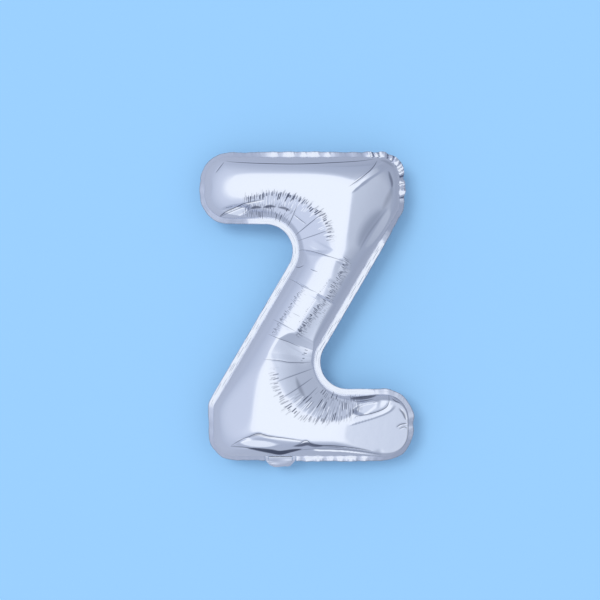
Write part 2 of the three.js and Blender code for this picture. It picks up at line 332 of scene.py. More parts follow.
def membraneSag(line, cell=1.0, border=4.0, rounds=500, pull=1.93):
    lowest = np.floor(line.min(0)) - border
    size = np.ceil((line.max(0) + border - lowest) / cell).astype(int)
    x, y = np.meshgrid(*(lowest[k] + cell * np.arange(size[k]) for k in (0, 1)), indexing="ij")
    inside = insideOutline(line, x, y)
    sag = np.zeros(x.shape)
    parity = np.add.outer(np.arange(size[0]), np.arange(size[1])) % 2
    turns = [inside & (parity == k) for k in (0, 1)]
    for _ in range(rounds):
        for turn in turns:
            around = np.zeros_like(sag)
            around[1:-1, 1:-1] = sag[2:, 1:-1] + sag[:-2, 1:-1] + sag[1:-1, 2:] + sag[1:-1, :-2]
            sag[turn] += pull * ((around[turn] + cell * cell) / 4 - sag[turn])
    return lowest, cell, sag


def sample(field, points):
    # Cubic between the cells, so that no cell shows in the mirror.
    lowest, cell, values = field
    place = (points - lowest) / cell
    base = np.floor(place).astype(int)
    t = place - base

    def weights(s):
        return [(-s ** 3 + 2 * s ** 2 - s) / 2, (3 * s ** 3 - 5 * s ** 2 + 2) / 2,
                (-3 * s ** 3 + 4 * s ** 2 + s) / 2, (s ** 3 - s ** 2) / 2]

    result = np.zeros(points.shape[:-1])
    for i, wx in enumerate(weights(t[..., 0])):
        for j, wy in enumerate(weights(t[..., 1])):
            column = np.clip(base[..., 0] + i - 1, 0, values.shape[0] - 1)
            row = np.clip(base[..., 1] + j - 1, 0, values.shape[1] - 1)
            result += wx * wy * values[column, row]
    return result


def nearestOnPath(path, points, closed=False):
    # For each point: how far it is from the path, how far along its foot lies, the foot, and its side.
    flat = points.reshape(-1, 2)
    starts = path if closed else path[:-1]
    side = (np.roll(path, -1, 0) if closed else path[1:]) - starts
    sideLength = np.linalg.norm(side, axis=1)
    keep = sideLength > 1e-9
    starts, side, sideLength = starts[keep], side[keep], sideLength[keep]
    reached = np.concatenate([[0], np.cumsum(sideLength)])[:-1]
    distance = np.full(len(flat), 1e9)
    along, hand = np.zeros(len(flat)), np.zeros(len(flat))
    foot = np.zeros((len(flat), 2))
    for start, direction, length, before in zip(starts, side, sideLength, reached):
        unit = direction / length
        offset = flat - start
        share = np.clip(offset @ unit, 0, length)
        place = start + share[:, None] * unit
        gap = np.linalg.norm(flat - place, axis=1)
        closer = gap < distance
        distance[closer] = gap[closer]
        along[closer] = before + share[closer]
        foot[closer] = place[closer]
        hand[closer] = np.sign(unit[0] * offset[closer, 1] - unit[1] * offset[closer, 0])
    shape = points.shape[:-1]
    return distance.reshape(shape), along.reshape(shape), foot.reshape(shape + (2,)), hand.reshape(shape)


def swollenHeight(line, sag, plan):
    distance, _, foot, _ = nearestOnPath(line, plan, closed=True)
    rim = 6.0  # closer to the weld than this, the sag is carried on from further in
    inwards = plan - foot
    inwards /= np.maximum(np.linalg.norm(inwards, axis=-1), 1e-6)[..., None]
    close = distance < rim
    probe = plan + inwards * np.maximum(rim - distance, 0)[..., None]
    value = sample(sag, np.where(close[..., None], probe, plan))
    carried = distance * (value / rim + (rim - distance) / 2)
    return np.sqrt(2 * np.maximum(np.where(close, carried, value), 0)), distance


def smoothStep(low, high, value):
    share = np.clip((value - low) / (high - low), 0, 1)
    return share * share * (3 - 2 * share)


def softLeast(a, b, ease):
    share = np.clip(0.5 + 0.5 * (b - a) / ease, 0, 1)
    return b + (a - b) * share - ease * share * (1 - share)


def alongHollow(plan):
    # How far each place lies from the weld round the upper hollow corner, and how far along that weld,
    # counted from where the straight stroke meets the corner.
    radius = letter["hollowRadius"] + weldInset
    offset = plan - hollowCentre()
    angle = np.arctan2(offset[..., 1], offset[..., 0])
    reach = np.linalg.norm(offset, axis=-1) - radius
    travel = radius * (math.pi / 2 - angle)
    cornerLength = radius * (math.pi / 2 + letter["lean"])
    onStroke = (offset[..., 0] < 0) & (offset[..., 1] > 0)
    onDiagonal = (angle < -letter["lean"]) & ~onStroke
    reach = np.where(onStroke, offset[..., 1] - radius, reach)
    travel = np.where(onStroke, offset[..., 0], travel)
    reach = np.where(onDiagonal, offset @ acrossDiagonal - radius, reach)
    travel = np.where(onDiagonal, cornerLength + offset @ downDiagonal, travel)
    return reach, travel


# How the film is pulled straight between the welds. Places are millimetres from the letter's middle,
# heights are above the weld, angles are degrees.

# Along each hollow side the film rises from the weld in one straight slope: how far along that weld, the
# height that the slope starts at, and its tilt. 1 is the upper side, and -1 the lower.
hollowSlopes = {
    1: [(-70, 40, 25), (-58, 18, 25), (-41, 19.5, 25), (-26, 21, 25), (-12, 20.5, 27), (0, 19.5, 28),
        (37, 21, 28), (56, 21.5, 28), (60, 25, 28), (90, 36, 25)],
    -1: [(-70, 40, 25), (-50, 20, 22), (-37, 20.5, 23), (-12, 21, 24), (0, 20, 26), (37, 18.5, 26),
         (52, 19, 24), (58, 19, 22.5), (61, 18.3, 22), (68, 18.6, 22), (73.5, 20.6, 25), (76, 21.4, 25),
         (121, 21.4, 25), (123.5, 22.2, 27), (141, 22.3, 27), (143.5, 23.2, 27), (162, 23.4, 27),
         (175, 30, 25), (190, 40, 25)],
}
# Round the lower hollow corner the slope steepens by so much nearer to the weld.
hollowSteepening = {"drop": 4.5, "turn": math.radians(7), "ease": 1.5, "from": -5, "to": 50, "over": 20}
hollowEase = {1: 2.0, -1: 1.0}  # how soft the slope's upper edge is

# Flat faces cut the swelling: a point of each, the way it faces, its tilt, how soft its edge is, and how
# far from that point it reaches.
facetFields = ("x", "y", "z", "faces", "tilt", "ease", "reach")
facets = named(facetFields, (
    (43.0, 90.0, 43.0, 184.0, 5.5, 3.0, 130.0),  # the upper elbow's bright top
    (43.0, 90.0, 43.5, -8.0, 20.9, 1.2, 90.0),  # its long face to the right
    (61.0, 90.0, 37.0, -9.0, 24.5, 4.0, 90.0),  # which bends a little,
    (70.0, 90.0, 31.5, -14.0, 33.0, 12.0, 90.0),  # and steepens outwards
    (-58.0, -103.0, 43.0, 4.0, 5.5, 3.0, 130.0),  # the lower elbow's top
    (-58.0, -103.0, 41.0, 172.0, 25.0, 3.0, 90.0),  # its face to the left, softer
    (-80.0, -103.0, 34.0, 165.0, 33.0, 14.0, 90.0),  # and steeper outwards
    (48.0, -128.0, 29.5, -6.0, 21.0, 2.5, 75.0),  # the lower stroke's end falls away
))

# The folds across the diagonal part it into lengths, each rolled a little: where it starts, counted down
# the diagonal, how far to the right its highest line lies, and over what length it gets there.
rolls = [(-200, 0.0, 1), (-66, 3.0, 1.5), (-58, 0.7, 0.8), (-37, 1.2, 0.8), (-18, -2.9, 0.8),
         (30, -3.4, 0.8), (46, -2.2, 0.8), (57, 0.0, 7)]

# Patches drawn straight by the film's pull: the middle, half length, half width, the way the length runs,
# the way that the patch faces, its tilt, and how far it is lifted.
patchFields = ("x", "y", "halfLength", "halfWidth", "turned", "faces", "tilt", "lift")
patches = named(patchFields, (
    (-52.0, -147.0, 25.0, 6.0, -2.0, -93.0, 18.0, 0.4),  # the bright lens over the neck
    (-32.0, -157.5, 17.0, 5.0, -3.0, -90.0, 43.5, 0.0),  # and the dark one under it
    (-80.0, 103.0, 21.0, 6.8, 11.0, -77.0, 25.5, -4.0),  # the pocket at the upper stroke's end
    (70.0, -110.5, 21.0, 7.0, 7.0, 92.0, 25.5, -0.7),  # and at the lower one's
))

# Towards the strokes' round ends the film climbs from the weld in a shallow slope, from this far out.
# Elsewhere that slope starts so much higher that it cuts nothing.
endSlope = {"start": 13.0, "tilt": math.radians(26), "ease": 1.5, "upper": (84, 108), "lower": (50, 82),
            "elsewhere": 25.0}

# Long narrow faces: a path, how far to each side, how far it tilts to its right, how far it is lifted, and
# by how much more towards its end.
bandFields = ("path", "halfWidth", "tilt", "lift", "rise")
bands = named(bandFields, (
    # along the upper elbow's mitre
    ([(44, 123), (56, 133), (68, 142), (80, 150), (88, 155)], 4.4, 4.0, 0.3, 4.0),
    # at the lower stroke's end, and along its lower edge
    ([(44, -126), (60, -122), (75, -118), (88, -113), (96, -106)], 2.6, -3.0, 0.5, 0.0),
    ([(4, -154.3), (15, -155.2), (38, -156.3), (62, -159.4), (86, -164)], 1.5, 4.0, 0.5, 0.0),
))

# Valleys between two faces: a path, how deep it is cut, and how steeply the film climbs from it, in degrees,
# to its left and to its right.
valleyFields = ("path", "depth", "left", "right")
valleys = named(valleyFields, (
    # between the upper elbow and the diagonal
    ([(92, 112), (89, 107), (81, 95), (69, 75.5), (60, 61), (57, 57)], 3.4, -29.0, 39.0),
))

# Where these forms end or fade out.
fading = {
    "bandEnds": 8.0,  # mm at each end
    "bandSides": 0.75,  # share of the half width
    "bandRise": 0.75,  # share of the length
    "patchSides": 0.72,
    "pocketEase": 0.8,
    "valleyEnds": 10.0,  # mm
    "valleySides": (18, 24),  # mm from its path
    "valleyOpening": 3.0,  # mm higher at its ends
    "valleyEase": 0.8,  # beside its path, and so much softer further to the right, between these distances
    "valleyOutwards": 1.0,
    "valleySoftening": (1, 7),
    "creaseLine": (2.0, 3.0),  # mm from its path
}

# Creases, as measured in the photograph: a path, the depth of its valley, how wide each side of it is, and
# how dark the painted shade along its sharp line is.
creaseFields = ("path", "depth", "left", "right", "line")
creases = named(creaseFields, (
    # the upper stroke
    ([(-90, 161), (-80, 159), (-49, 157), (-7, 156), (37, 158), (60, 160), (76, 163)], 0.35, 2.0, 1.2, 1.4),
    ([(-100, 147), (-97, 151), (-91, 159)], 0.6, 1.5, 1.5, 0.9),
    ([(-103, 95), (-95, 101), (-86, 106), (-71, 112), (-57, 115), (-46, 117)], 0.8, 1.3, 1.5, 1.1),
    ([(-97, 99), (-86, 103.5), (-72, 109), (-60, 111.5)], 0.3, 1.2, 1.2, 0.6),
    # the upper elbow
    ([(78, 161), (74, 154), (68, 147), (57, 138), (46, 130)], 1.3, 2.0, 1.8, 1.2),
    ([(90, 151), (93, 144), (95, 136), (95, 127)], 0.8, 5.0, 4.0, 0.0),
    # spokes round the upper hollow corner
    ([(-23, 87), (-18, 93), (-10, 111)], 0.5, 1.2, 1.2, 0.8),
    ([(-13, 78), (-9, 81), (5, 92), (17, 101)], 0.6, 1.2, 1.2, 0.9),
    ([(-10, 72), (-4, 74), (12, 79), (29, 85)], 0.5, 1.2, 1.2, 0.7),
    ([(-14, 101), (-8, 96), (0, 90)], 0.4, 1.2, 1.2, 0.8),
    ([(-12, 62), (-2, 62), (9, 59.5), (26, 54), (44, 48)], 0.6, 1.3, 1.5, 0.7),
    # the diagonal
    ([(-13, 44), (-8, 43), (-3, 45)], 0.4, 1.2, 1.4, 0.8),
    ([(4, 41), (8, 39), (12, 38)], 0.3, 1.2, 1.4, 0.7),
    ([(-20, 31), (-12, 27), (-4, 22), (12, 15)], 0.4, 1.2, 1.4, 0.5),
    ([(-15, -7), (-7, -11)], 0.3, 1.2, 1.4, 0.4),
    ([(-37, -14), (-28, -18), (-21, -22), (-12, -27)], 0.4, 1.2, 1.4, 0.5),
    ([(-42, -30), (-37, -32), (-27, -36), (-19, -39), (-6, -45)], 0.45, 1.2, 1.4, 0.7),
    ([(-47, -57), (-29, -59), (-18, -61), (5, -62)], 0.45, 1.2, 1.4, 0.8),
    # spokes round the lower hollow corner
    ([(-35, -83), (-22, -78), (9, -68)], 0.5, 1.3, 1.3, 0.6),
    ([(-30, -101), (-14, -92), (8, -78)], 0.5, 1.3, 1.3, 0.7),
    ([(-13, -111), (-2, -102), (13, -88)], 0.5, 1.3, 1.3, 0.7),
    # the lower stroke
    ([(-83, -153), (-73, -146), (-63, -141.5), (-52, -137.5), (-41, -140.5), (-23, -143), (-1, -146.5)],
     1.0, 1.6, 2.4, 1.1),
    ([(-84, -153.7), (-65.5, -154.1), (-50.5, -156.6), (-40, -157.5)], 1.0, 1.6, 2.0, 1.2),
    ([(-16, -153), (-8, -149.5), (0, -145.5), (8, -151), (30, -152), (52, -155), (72, -159)],
     0.6, 1.6, 1.6, 1.1),
    ([(-20, -160), (-10, -158), (2, -156), (26, -156), (52, -158), (84, -163.5)], 0.7, 1.8, 2.0, 0.6),
    ([(53, -122), (56, -120), (70, -118), (81, -115), (88, -111.5), (91, -106), (91.5, -98)],
     0.8, 1.4, 1.4, 1.1),
    ([(95, -102), (99, -105), (104, -107)], 0.5, 1.2, 1.2, 1.0),
    ([(97, -99), (100, -102), (105, -103)], 0.5, 1.2, 1.2, 0.8),
    ([(47, -101), (62, -100.5), (82, -98)], 0.8, 2.4, 1.6, 1.1),
    ([(51, -104.5), (63, -104), (75, -102)], 0.4, 1.4, 1.4, 0.8),
    ([(103, -113), (108, -119), (111, -126)], 0.6, 1.8, 1.8, 0.7),
    ([(100, -134), (105, -131), (112, -130)], 0.6, 1.4, 1.4, 1.2),
    ([(103, -136), (109, -134), (113, -136)], 0.4, 1.2, 1.2, 0.8),
))

# Painted shade, which darkens the film's colour where it is folded so deep that it mirrors only itself, and
# where its mirror shows something dark: a path, how dark, how far to each side, and over what breadth it
# fades.
shadeFields = ("path", "dark", "breadth", "soft")
shades = named(shadeFields, (
    ([(-66, -154.5), (-54, -156), (-40, -158.5), (-29, -160.5), (-17, -158), (-4, -155.5)], 0.95, 3.0, 0.9),
    ([(-66, -143.5), (-58, -140.5), (-51, -138.5), (-43, -140.5), (-34, -142)], 0.5, 1.4, 0.8),
    ([(-15, -152.5), (-6, -151), (1, -149.5), (9, -151.5), (20, -152.2)], 0.8, 2.4, 0.9),
    ([(10, -151.8), (25, -152.5), (42, -154.5)], 0.45, 1.6, 1.0),
    ([(48, -101.5), (62, -101), (78, -99)], 0.8, 2.0, 0.8),
    ([(-62, 107.5), (-55, 109), (-49, 108.5)], 0.8, 1.9, 0.9),
    ([(-48, 108.5), (-40, 110), (-33, 109)], 0.8, 1.9, 0.9),
    ([(-32, 109), (-24, 107.5), (-17, 104.5)], 0.75, 1.7, 0.9),
    ([(103, -114), (108, -119), (111, -127)], 0.5, 2.0, 1.5),
    ([(88, 107), (79, 95), (68, 80), (60, 66), (57, 59)], 0.3, 2.4, 2.4),
    ([(86, 110), (74, 95), (63, 79), (56, 64)], 0.2, 8.0, 8.0),
    ([(90, 150), (92, 143), (94, 136), (94, 129)], 0.55, 2.4, 1.8),
    ([(95, 133), (92, 124), (87, 113), (82, 104)], 0.3, 5.0, 5.0),
    ([(98, 153), (90, 159), (80, 162)], 0.25, 3.0, 3.0),
    ([(-12, -76), (-7, -90), (0, -102)], 0.4, 3.5, 3.0),
    # the lower stroke's end, close to the weld, where painted shade dims the bright rim
    ([(93.5, -99), (104, -104.5), (111.3, -114), (113.8, -125.5), (113.8, -139.7), (111.3, -151.3),
      (104.1, -160.7), (93.5, -166.2)], 0.3, 2.4, 1.5),
))


def smoothPath(points, between=8):
    # A rounded line through the points.
    points = np.array(points, float)
    padded = np.vstack([2 * points[0] - points[1], points, 2 * points[-1] - points[-2]])
    line = []
    for k in range(1, len(padded) - 2):
        a, b, c, d = padded[k - 1:k + 3]
        for t in np.linspace(0, 1, between, endpoint=False):
            line.append(0.5 * (2 * b + (c - a) * t + (2 * a - 5 * b + 4 * c - d) * t ** 2
                               + (3 * b - a - 3 * c + d) * t ** 3))
    return np.array(line + [points[-1]])


def lowered(path):
    # What was measured in the photograph and stands over the weld looks further out than it lies.
    return cameraFoot + (np.array(path) - cameraFoot) * (1 - photo["creaseHeight"] / photo["cameraHeight"])


def nearLine(line, plan):
    # For each place: its distance from the line, its side, how much of the line is passed, as a share, and a
    # strength that fades out at both ends.
    distance, along, _, hand = nearestOnPath(line, plan)
    share = along / np.linalg.norm(np.diff(line, axis=0), axis=1).sum()
    return distance, hand, share, np.clip(4 * share * (1 - share), 0, 1) ** 0.6


# The back, which nothing shows, is taken to have the same kinds of crease, in fewer places.
backCreases = named(creaseFields, (
    ([(-90, 160), (-60, 157), (-7, 155), (37, 157), (76, 162)], 0.5, 2.0, 1.4, 1.0),
    ([(-88, -159), (-40, -156), (10, -157), (60, -158), (92, -161)], 0.5, 1.4, 2.0, 1.0),
    ([(80, 160), (68, 147), (56, 136)], 1.0, 2.0, 1.8, 0.9),
    ([(-80, -160), (-68, -147), (-56, -136)], 1.0, 2.0, 1.8, 0.9),
    ([(-23, 87), (-17, 95), (-11, 110)], 0.5, 1.2, 1.2, 0.8),
    ([(-12, 78), (3, 90), (15, 99)], 0.6, 1.2, 1.2, 0.8),
    ([(-11, 66), (6, 67), (28, 68)], 0.6, 1.2, 1.2, 0.8),
    ([(-18, 38), (0, 32), (18, 24)], 0.5, 1.3, 1.3, 0.6),
    ([(-28, 8), (-6, -2), (12, -12)], 0.5, 1.3, 1.3, 0.6),
    ([(-40, -30), (-20, -38), (-3, -46)], 0.5, 1.3, 1.3, 0.7),
    ([(-30, -68), (-8, -67), (11, -66)], 0.6, 1.2, 1.2, 0.8),
    ([(-16, -100), (-4, -90), (12, -78)], 0.6, 1.2, 1.2, 0.8),
    ([(12, -111), (17, -97), (23, -88)], 0.5, 1.2, 1.2, 0.8),
))
# Painted shade on the back, along these paths.
backShades = named(shadeFields, (
    ([(-60, 156.5), (-30, 155), (0, 155)], 0.4, 1.4, 1.0),
    ([(0, -157), (30, -157.5), (56, -158)], 0.4, 1.4, 1.0),
))


def creased(plan, height, creases, shades):
    # Gives the height, its painted shade, which side of the nearest crease, and the painted shade of that
    # crease's line near it.
    nearest, lineSide, lineNear = (np.full(height.shape, start) for start in (99.0, 0.0, 0.0))
    for crease in creases:
        distance, hand, _, fade = nearLine(smoothPath(lowered(crease["path"])), plan)
        width = np.where(hand > 0, crease["left"], crease["right"])
        height = height - crease["depth"] * fade * np.clip(1 - distance / width, 0, 1) ** 2
        closer = (distance < nearest) & (crease["line"] > 0)
        nearest = np.where(closer, distance, nearest)
        lineSide = np.where(closer, hand * distance, lineSide)
        near = 1 - smoothStep(*fading["creaseLine"], distance)
        lineNear = np.where(closer, crease["line"] * fade * near, lineNear)
    fold = np.zeros(height.shape)
    for shade in shades:
        distance, _, _, fade = nearLine(smoothPath(lowered(shade["path"])), plan)
        inShade = smoothStep(0, shade["soft"], shade["breadth"] * fade - distance)
        fold = np.maximum(fold, shade["dark"] * inShade)
    return height, fold, lineSide, lineNear


def heightAlong(line, plan, height):
    # The surface's height along a line, evened out, as a function of the share passed; and its length.
    length = np.concatenate([[0], np.cumsum(np.linalg.norm(np.diff(line, axis=0), axis=1))])
    under = [height.flat[np.argmin(np.linalg.norm(plan - point, axis=-1))] for point in line]
    return np.polynomial.Polynomial.fit(length / length[-1], under, 3), length[-1]


def offsets(plan, place, degrees):
    # How far each place lies from this one, measured towards a bearing and to the left of it.
    offset, turn = plan - place, math.radians(degrees)
    return offset @ (math.cos(turn), math.sin(turn)), offset @ (-math.sin(turn), math.cos(turn))


def slopedAlongHollow(plan, height, turned):
    reach, travel = alongHollow(turned * plan)
    travels, starts, tilts = np.array(hollowSlopes[turned], float).T
    start, tilt = np.interp(travel, travels, starts), np.radians(np.interp(travel, travels, tilts))
    slope = softLeast(height, start + np.tan(tilt) * reach, hollowEase[turned])
    if turned < 0:
        more = hollowSteepening
        steeper = start - more["drop"] + np.tan(tilt + more["turn"]) * reach
        share = (smoothStep(more["from"] - more["over"], more["from"], travel)
                 * (1 - smoothStep(more["to"], more["to"] + more["over"], travel)))
        slope += share * (softLeast(slope, steeper, more["ease"]) - slope)
    return np.where(reach > -20, slope, height)  # past the weld's other side the slope says nothing


def shaped(plan, height, fromWeld):
    for turned in hollowSlopes:
        height = slopedAlongHollow(plan, height, turned)
    inside = 1 - np.where(plan[..., 1] > 0, smoothStep(*endSlope["upper"], -plan[..., 0]),
                          smoothStep(*endSlope["lower"], plan[..., 0]))
    shallow = endSlope["start"] + endSlope["elsewhere"] * inside + math.tan(endSlope["tilt"]) * fromWeld
    height = softLeast(height, shallow, endSlope["ease"])
    for facet in facets:
        place = (facet["x"], facet["y"])
        downhill, _ = offsets(plan, place, facet["faces"])
        beyond = np.maximum(np.linalg.norm(plan - place, axis=-1) - facet["reach"], 0)
        face = facet["z"] - math.tan(math.radians(facet["tilt"])) * downhill + beyond
        height = softLeast(height, face, facet["ease"])
    half = letter["limbBreadth"] / 2 - weldInset
    aside, along = plan @ acrossDiagonal, plan @ downDiagonal
    crest = np.zeros(height.shape)
    for (_, before, _), (start, after, over) in zip(rolls, rolls[1:]):
        crest += (after - before) * smoothStep(start - over, start + over, along)
    height = height + crest / half * aside * np.clip(1 - (aside / half) ** 2, 0, 1) ** 2
    for valley in valleys:
        line = smoothPath(valley["path"])
        under, length = heightAlong(line, plan, height)
        distance, hand, share, fade = nearLine(line, plan)
        climb = np.tan(np.radians(np.where(hand > 0, valley["left"], valley["right"])))
        bottom = under(share) - valley["depth"] * fade + (1 - fade) * fading["valleyOpening"]
        within = ((1 - smoothStep(*fading["valleySides"], distance))
                  * smoothStep(0, fading["valleyEnds"], length * np.minimum(share, 1 - share)))
        outwards = np.where(hand > 0, 0, smoothStep(*fading["valleySoftening"], distance))
        ease = fading["valleyEase"] + fading["valleyOutwards"] * outwards
        cut = softLeast(height, bottom + climb * distance, ease)
        height = height + within * (cut - height)
    for band in bands:
        line = smoothPath(band["path"])
        under, length = heightAlong(line, plan, height)
        distance, hand, share, _ = nearLine(line, plan)
        within = ((1 - smoothStep(fading["bandSides"], 1, distance / band["halfWidth"]))
                  * smoothStep(0, fading["bandEnds"], length * np.minimum(share, 1 - share)))
        more = band["rise"] * share * (1 - smoothStep(fading["bandRise"], 1, share))
        face = under(share) + band["lift"] + more + math.tan(math.radians(band["tilt"])) * hand * distance
        height = height + within * (face - height)
    for patch in patches:
        place = (patch["x"], patch["y"])
        lengthwise, crosswise = offsets(plan, place, patch["turned"])
        downhill, _ = offsets(plan, place, patch["faces"])
        middle = height.flat[np.argmin(np.linalg.norm(plan - place, axis=-1))] + patch["lift"]
        face = middle - math.tan(math.radians(patch["tilt"])) * downhill
        if patch["lift"] < 0:  # a pocket only cuts in
            face = softLeast(height, face, fading["pocketEase"])
        fromMiddle = np.hypot(lengthwise / patch["halfLength"], crosswise / patch["halfWidth"])
        height = height + (1 - smoothStep(fading["patchSides"], 1, fromMiddle)) * (face - height)
    return height


def gridMesh(name, points, flip=False):
    rows, columns = points.shape[:2]
    index = np.arange(rows * columns).reshape(rows, columns)
    corners = [index[:-1, :-1], index[1:, :-1], index[1:, 1:], index[:-1, 1:]]
    faces = np.stack(corners[::-1] if flip else corners, -1).reshape(-1, 4)
    mesh = bpy.data.meshes.new(name)
    mesh.from_pydata(points.reshape(-1, 3).tolist(), [], faces.tolist())
    mesh.polygons.foreach_set("use_smooth", np.ones(len(faces), bool))
    mesh.update()
    return placed(name, mesh)


def atLetter(plan, height):
    return (np.concatenate([plan, height[..., None]], -1) + letterMiddle) * millimetre


# Materials

# Polyester film, metallised and rolled: a clear cool mirror, slightly milky where it is crimped at the
# weld. Painted shade darkens its colour in sharp folds, standing in for the dark a fold shows where it sees
# only itself.
filmLook = {
    "silver": "#eff2fa",
    "paintedShadeColour": "#545a6e",
    "roughness": 0.07,
    "roughAtWeld": 0.22,
    "crimped": 9.0,  # mm, how far from the weld it is milky
    "cockle": 9.0,  # mm, the soft unevenness of film under pressure
    "cockleHeight": 0.05,  # mm
    "creaseLine": 0.5,  # mm to each side of a crease's sharp line
    "gatherDepth": 0.12,  # mm, of the finest gathers
    "gatherWidth": 0.42,  # mm, half of it
    # their layers: the row, the pitch in mm, a seed, how long and how scattered against what the row says
    "gathers": [("edge", 2.1, 11.0, 1.0, 1.0), ("edge", 3.3, 23.0, 1.3, 1.3),
                ("middle", 1.9, 37.0, 1.0, 1.0), ("edge", 1.7, 29.0, 0.7, 0.7),
                ("weld", 2.1, 41.0, 1.0, 1.0), ("scatter", 1.5, 71.0, 0.8, 1.3),
                ("scatter", 1.9, 83.0, 0.7, 1.6), ("scatter", 2.6, 89.0, 0.6, 1.2)],
    "ridgeWidth": 0.3,  # mm, half of a bright ridge between them
    "ridges": [("ridge", 2.0, 53.0, 1.0, 1.0), ("ridge", 2.7, 59.0, 1.3, 1.3)],
    "ridgeLevel": 0.8,  # how far the ridges' tops lie level
}
# The same film, two plies welded flat between rough jaws: frosted silver, with fine lines that the pull
# draws, bumped and darkened by painted shade, as are its deepest crinkles.
weldLook = {
    "silver": "#eceff8",
    "roughness": (0.09, 0.25),
    "grain": 1.1,  # mm, of the rough jaws that close the weld
    "grainHeight": 0.02,  # mm
    "linePitch": 1.5,  # mm, between the lines that the pull draws along it
    "lineDepth": 0.1,  # mm
    "lineBend": 0.03,  # how often a line wanders, to a mm along it
    "lineChange": 0.06,  # and how often it comes and goes
    # the colour of the painted shade in the lines and the pinches
    "weldShadeColour": "#858da2",
}


def fineGathers(tree, halfWidth, layer, pitch, seed, stretch, spread):
    # Short dashes side by side along a layer's row, each with its own place, length and strength.
    add = partial(addNode, tree)
    travel, offset, strength = (
        add("ShaderNodeAttribute", settings={"attribute_name": layer + part}).outputs["Fac"]
        for part in ("Travel", "Offset", "Strength"))
    place = add("ShaderNodeMath DIVIDE", travel, pitch)
    dash = add("ShaderNodeMath FLOOR", place)
    ownSeed = add("ShaderNodeMath ADD", dash, seed)
    chance = add("ShaderNodeTexWhiteNoise", settings={"noise_dimensions": "1D"}, W=ownSeed)
    one, two, three = add("ShaderNodeSeparateColor", chance.outputs["Color"]).outputs
    lean = add("ShaderNodeMath MULTIPLY", offset, add("ShaderNodeMath SUBTRACT", two, 0.5))
    slant = add("ShaderNodeMath MULTIPLY_ADD", lean, 0.25, 0.25)
    middle = add("ShaderNodeMath MULTIPLY_ADD", one, 0.5, slant)
    within = add("ShaderNodeMath SUBTRACT", add("ShaderNodeMath SUBTRACT", place, dash), middle)
    aside = add("ShaderNodeMath MULTIPLY", add("ShaderNodeMath ABSOLUTE", within), pitch)
    acrossIt = add("ShaderNodeMapRange", aside, 0.25 * halfWidth, halfWidth, 1.0, 0.0)
    reach = add("ShaderNodeMath MULTIPLY", add("ShaderNodeMath MULTIPLY_ADD", two, 0.7, 0.3), stretch)
    shift = add("ShaderNodeMath MULTIPLY", add("ShaderNodeMath SUBTRACT", three, 0.5), spread)
    away = add("ShaderNodeMath ABSOLUTE", add("ShaderNodeMath ADD", offset, shift))
    lengthwise = add("ShaderNodeMapRange", add("ShaderNodeMath DIVIDE", away, reach), 0.6, 1.0, 1.0, 0.0)
    drawn = add("ShaderNodeMath MULTIPLY_ADD", add("ShaderNodeMath POWER", three, 2.0), 0.75, 0.25)
    drawn = add("ShaderNodeMath MULTIPLY", drawn, strength)
    return add("ShaderNodeMath MULTIPLY", add("ShaderNodeMath MULTIPLY", acrossIt, lengthwise), drawn)


def strongestGathers(tree, halfWidth, layers):
    strongest = 0.0
    for layer in layers:
        strongest = addNode(tree, "ShaderNodeMath MAXIMUM", fineGathers(tree, halfWidth, *layer), strongest)
    return strongest


def metallisedFilm(name):
    material, tree, shader = newMaterial(name)
    add = partial(addNode, tree)
    fold, lineSide, lineNear, fromWeld = (
        add("ShaderNodeAttribute", settings={"attribute_name": field}).outputs["Fac"]
        for field in ("fold", "lineSide", "lineNear", "fromWeld"))
    # Painted shade along each crease's sharp line, to either side of it.
    halfLine = filmLook["creaseLine"]
    besideLine = add("ShaderNodeMath ABSOLUTE", lineSide)
    onLine = add("ShaderNodeMapRange", besideLine, 0.3 * halfLine, halfLine, 1.0, 0.0)
    line = add("ShaderNodeMath MULTIPLY", onLine, lineNear)
    gathers = strongestGathers(tree, filmLook["gatherWidth"], filmLook["gathers"])
    ridges = strongestGathers(tree, filmLook["ridgeWidth"], filmLook["ridges"])
    # Painted shade: the shaded paths, the crease lines and the finest gathers darken the film's colour.
    dark = add("ShaderNodeMath MAXIMUM", add("ShaderNodeMath MAXIMUM", fold, line), gathers)
    colour = add("ShaderNodeMix", settings={"data_type": "RGBA"}, i0=dark, i6=linear(filmLook["silver"]),
                 i7=linear(filmLook["paintedShadeColour"])).outputs[2]
    rough = add("ShaderNodeMapRange", fromWeld, 0.0, filmLook["crimped"], filmLook["roughAtWeld"],
                filmLook["roughness"])
    place = add("ShaderNodeTexCoord").outputs["Object"]
    cockle = add("ShaderNodeTexNoise", Vector=place, Scale=1 / (filmLook["cockle"] * millimetre), Detail=2.0,
                 Roughness=0.45)
    soft = add("ShaderNodeBump", Strength=1.0, Distance=filmLook["cockleHeight"] * millimetre, Height=cockle)
    sharp = add("ShaderNodeBump", settings={"invert": True}, Strength=1.0,
                Distance=filmLook["gatherDepth"] * millimetre, Height=gathers, Normal=soft)
    # The tops of the finest ridges lie level and catch the light from above.
    up = add("ShaderNodeVectorTransform", (0, 0, 1),
             settings={"vector_type": "NORMAL", "convert_from": "OBJECT", "convert_to": "WORLD"})
    level = add("ShaderNodeMath MULTIPLY", ridges, filmLook["ridgeLevel"])
    turned = add("ShaderNodeVectorMath MULTIPLY_ADD", up, level, sharp)
    facing = add("ShaderNodeVectorMath NORMALIZE", turned)
    tree.links.new(colour, shader.inputs["Base Color"])
    tree.links.new(rough.outputs[0], shader.inputs["Roughness"])
    tree.links.new(facing.outputs[0], shader.inputs["Normal"])
    shader.inputs["Metallic"].default_value = 1.0
    return material


